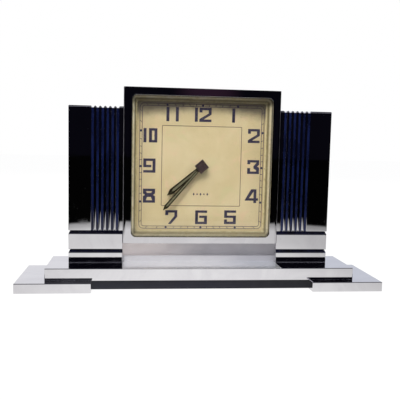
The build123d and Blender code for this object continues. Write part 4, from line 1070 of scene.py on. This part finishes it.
def ornament():
    """A small row of lozenges above the six."""
    bm = bmesh.new()
    level = ORNAMENT_LEVEL
    half = 0.7
    for place in range(-2, 3):
        high = 0.75 if place % 2 else 1.1
        x = place * 2.5
        add_print(bm, [[(x - half, level), (x, level + high), (x + half, level),
                        (x, level - high)]])
    finished_piece("dial_ornament", bm, LINE_INK, "root")


minute_track()
inner_square()
ornament()


# ---- polished copies of CAD nodes ----------------------------------------------------
ROUNDED = {  # the radius of each node's rounded edges
    "foot_left": 0.30,
    "foot_right": 0.30,
    "base_slab": 0.25,
    "base_bar": 0.30,
    "plinth": 0.08,
    "bezel": 0.12,
    "centre_case": 0.12,
    "glass": 0.25,
    "glass_gasket": 0.05,
    "sight_frame": 0.15,
    "minute_hand": 0.10,
    "hour_hand": 0.10,
    "hand_hub": 0.15,
    "rear_cover": 0.25,
    "foot_pads": 0.20,
}
for node, radius in ROUNDED.items():
    rounded_copy(node, radius)
bpy.data.objects["fine_glass"].visible_shadow = False


# ---- studio --------------------------------------------------------------------------
DARK_ROOM = (0.0025, 0.0023, 0.0045)
PALE_BAND = (0.52, 0.52, 0.60)
BAND_STARTS = (13, 17)     # degrees above the horizon
BAND_ENDS = (36, 26)
GLOW_TOWARDS = (0.12, -0.99, 0.085)
WALL_COLOURS = ((0.77, 0.77, 0.81), (0.60, 0.62, 0.70))  # behind, at the left and the right
FLOOR_CENTRE = (0.020, 0.0, 0.0)
FLOOR_FADES = (            # how far off each glow starts and is full, in metres, and its range
    (0.345, 0.320, 0.001, 0.40),
    (0.320, 0.262, 0.0, 0.30),
    (0.200, 0.090, 0.0, 0.16),
)


def sine(degrees):
    """How high a direction so many degrees above the horizon is."""
    return math.sin(math.radians(degrees))


def studio_world():
    """White to the camera; in the chrome, dark in front, pale above and white behind."""
    world = bpy.data.worlds.new("studio_world")
    bpy.context.scene.world = world
    world.use_nodes = True
    tree = world.node_tree
    direction = tree.nodes.new("ShaderNodeTexCoord").outputs["Generated"]
    towards = parts_of(tree, direction)
    path = tree.nodes.new("ShaderNodeLightPath")
    rising = eased(tree, towards["Z"], sine(BAND_STARTS[0]), sine(BAND_STARTS[1]))
    falling = eased(tree, towards["Z"], sine(BAND_ENDS[0]), sine(BAND_ENDS[1]))
    band = calculated(tree, "MULTIPLY", rising, falling)
    front = mixed(tree, band, DARK_ROOM, PALE_BAND)
    glow = eased(tree, distance_from(tree, direction, GLOW_TOWARDS), 0.065, 0.02)
    front = mixed(tree, glow, front, (0.022, 0.010, 0.020))
    wall = mixed(tree, eased(tree, towards["X"], -0.15, 0.36), *WALL_COLOURS)
    mirrored = mixed(tree, eased(tree, towards["Y"], 0.60, 0.85), front, wall)
    soft = mixed(tree, path.outputs["Is Diffuse Ray"], mirrored, (0.24, 0.24, 0.26))
    seen = mixed(tree, path.outputs["Is Camera Ray"], soft, (1.0, 1.0, 1.0))
    tree.links.new(seen, tree.nodes["Background"].inputs["Color"])


def plain_shader(tree, kind, colour, strength=None):
    """An emission or diffuse shader of one colour."""
    node = tree.nodes.new(kind)
    node.inputs["Color"].default_value = (*colour, 1.0)
    if strength is not None:
        node.inputs["Strength"].default_value = strength
    return node


def shader_mix(tree, factor, first, second):
    """A blend of two shaders: factor is a socket or a number."""
    node = tree.nodes.new("ShaderNodeMixShader")
    if isinstance(factor, float):
        node.inputs["Fac"].default_value = factor
    else:
        tree.links.new(factor, node.inputs["Fac"])
    tree.links.new(first.outputs[0], node.inputs[1])
    tree.links.new(second.outputs[0], node.inputs[2])
    return node


def studio_floor():
    """A pale floor; the chrome sees it white nearby and dark further to the front."""
    bm = bmesh.new()
    bmesh.ops.create_grid(bm, x_segments=8, y_segments=8, size=3.0)
    mesh = bpy.data.meshes.new("studio_floor")
    bm.to_mesh(mesh)
    bm.free()
    floor = bpy.data.objects.new("studio_floor", mesh)
    bpy.context.scene.collection.objects.link(floor)
    material = bpy.data.materials.new("pale_floor")
    material.use_nodes = True
    tree = material.node_tree
    tree.nodes.remove(tree.nodes["Principled BSDF"])
    path = tree.nodes.new("ShaderNodeLightPath")
    place = tree.nodes.new("ShaderNodeNewGeometry").outputs["Position"]
    off = distance_from(tree, place, FLOOR_CENTRE)
    far, near, close = [eased(tree, off, *fade) for fade in FLOOR_FADES]
    right = eased(tree, parts_of(tree, place)["X"], 0.02, 0.16, 1.0, 0.76)
    whole = calculated(tree, "ADD", calculated(tree, "ADD", far, near), close)
    brightness = calculated(tree, "MULTIPLY", whole, right)
    glow = plain_shader(tree, "ShaderNodeEmission", (1.0, 0.99, 1.0))
    tree.links.new(brightness, glow.inputs["Strength"])
    matt = plain_shader(tree, "ShaderNodeBsdfDiffuse", (0.80, 0.80, 0.81))
    bounce = plain_shader(tree, "ShaderNodeBsdfDiffuse", (0.35, 0.35, 0.36))
    white = plain_shader(tree, "ShaderNodeEmission", (1.0, 1.0, 1.0), 1.09)
    seen = shader_mix(tree, 0.12, white, matt)
    others = shader_mix(tree, path.outputs["Is Diffuse Ray"], glow, bounce)
    final = shader_mix(tree, path.outputs["Is Camera Ray"], others, seen)
    tree.links.new(final.outputs["Shader"], tree.nodes["Material Output"].inputs["Surface"])
    mesh.materials.append(material)


def area_light(name, place, size, energy, colour=(1.0, 1.0, 1.0)):
    """A soft square light towards the dial, kept out of reflections."""
    data = bpy.data.lights.new(name, "AREA")
    data.shape = "SQUARE"
    data.size = size
    data.energy = energy
    data.color = colour
    light = bpy.data.objects.new(name, data)
    bpy.context.scene.collection.objects.link(light)
    light.location = place
    light.rotation_mode = "QUATERNION"
    towards = Vector(LIGHT_AIM) - Vector(place)
    light.rotation_quaternion = towards.to_track_quat("-Z", "Y")
    light.visible_glossy = False
    light.visible_camera = False


studio_world()
studio_floor()
area_light("key_light", (-0.25, -0.62, 0.80), 0.40, 6.2, (1.0, 0.97, 0.93))
area_light("fill_light", (0.55, -0.80, 0.35), 0.60, 1.0)
area_light("back_light", (0.10, 0.90, 0.70), 0.60, 4.5)
bpy.context.scene.view_settings.view_transform = "Standard"


# ---- camera --------------------------------------------------------------------------
camera_data = bpy.data.cameras.new("photo_camera")
camera_data.lens = CAMERA_LENS
camera_data.sensor_width = CAMERA_SENSOR
camera = bpy.data.objects.new("photo_camera", camera_data)
bpy.context.scene.collection.objects.link(camera)
turned = Matrix.Rotation(math.radians(CAMERA_TURN), 4, "Z")
tipped = Matrix.Rotation(math.radians(90 - CAMERA_DOWN), 4, "X")
rolled = Matrix.Rotation(math.radians(CAMERA_ROLL), 4, "Z")
camera.matrix_world = Matrix.Translation(Vector(CAMERA_PLACE) * MM) @ turned @ tipped @ rolled
bpy.context.scene.camera = camera

bpy.context.view_layer.update()
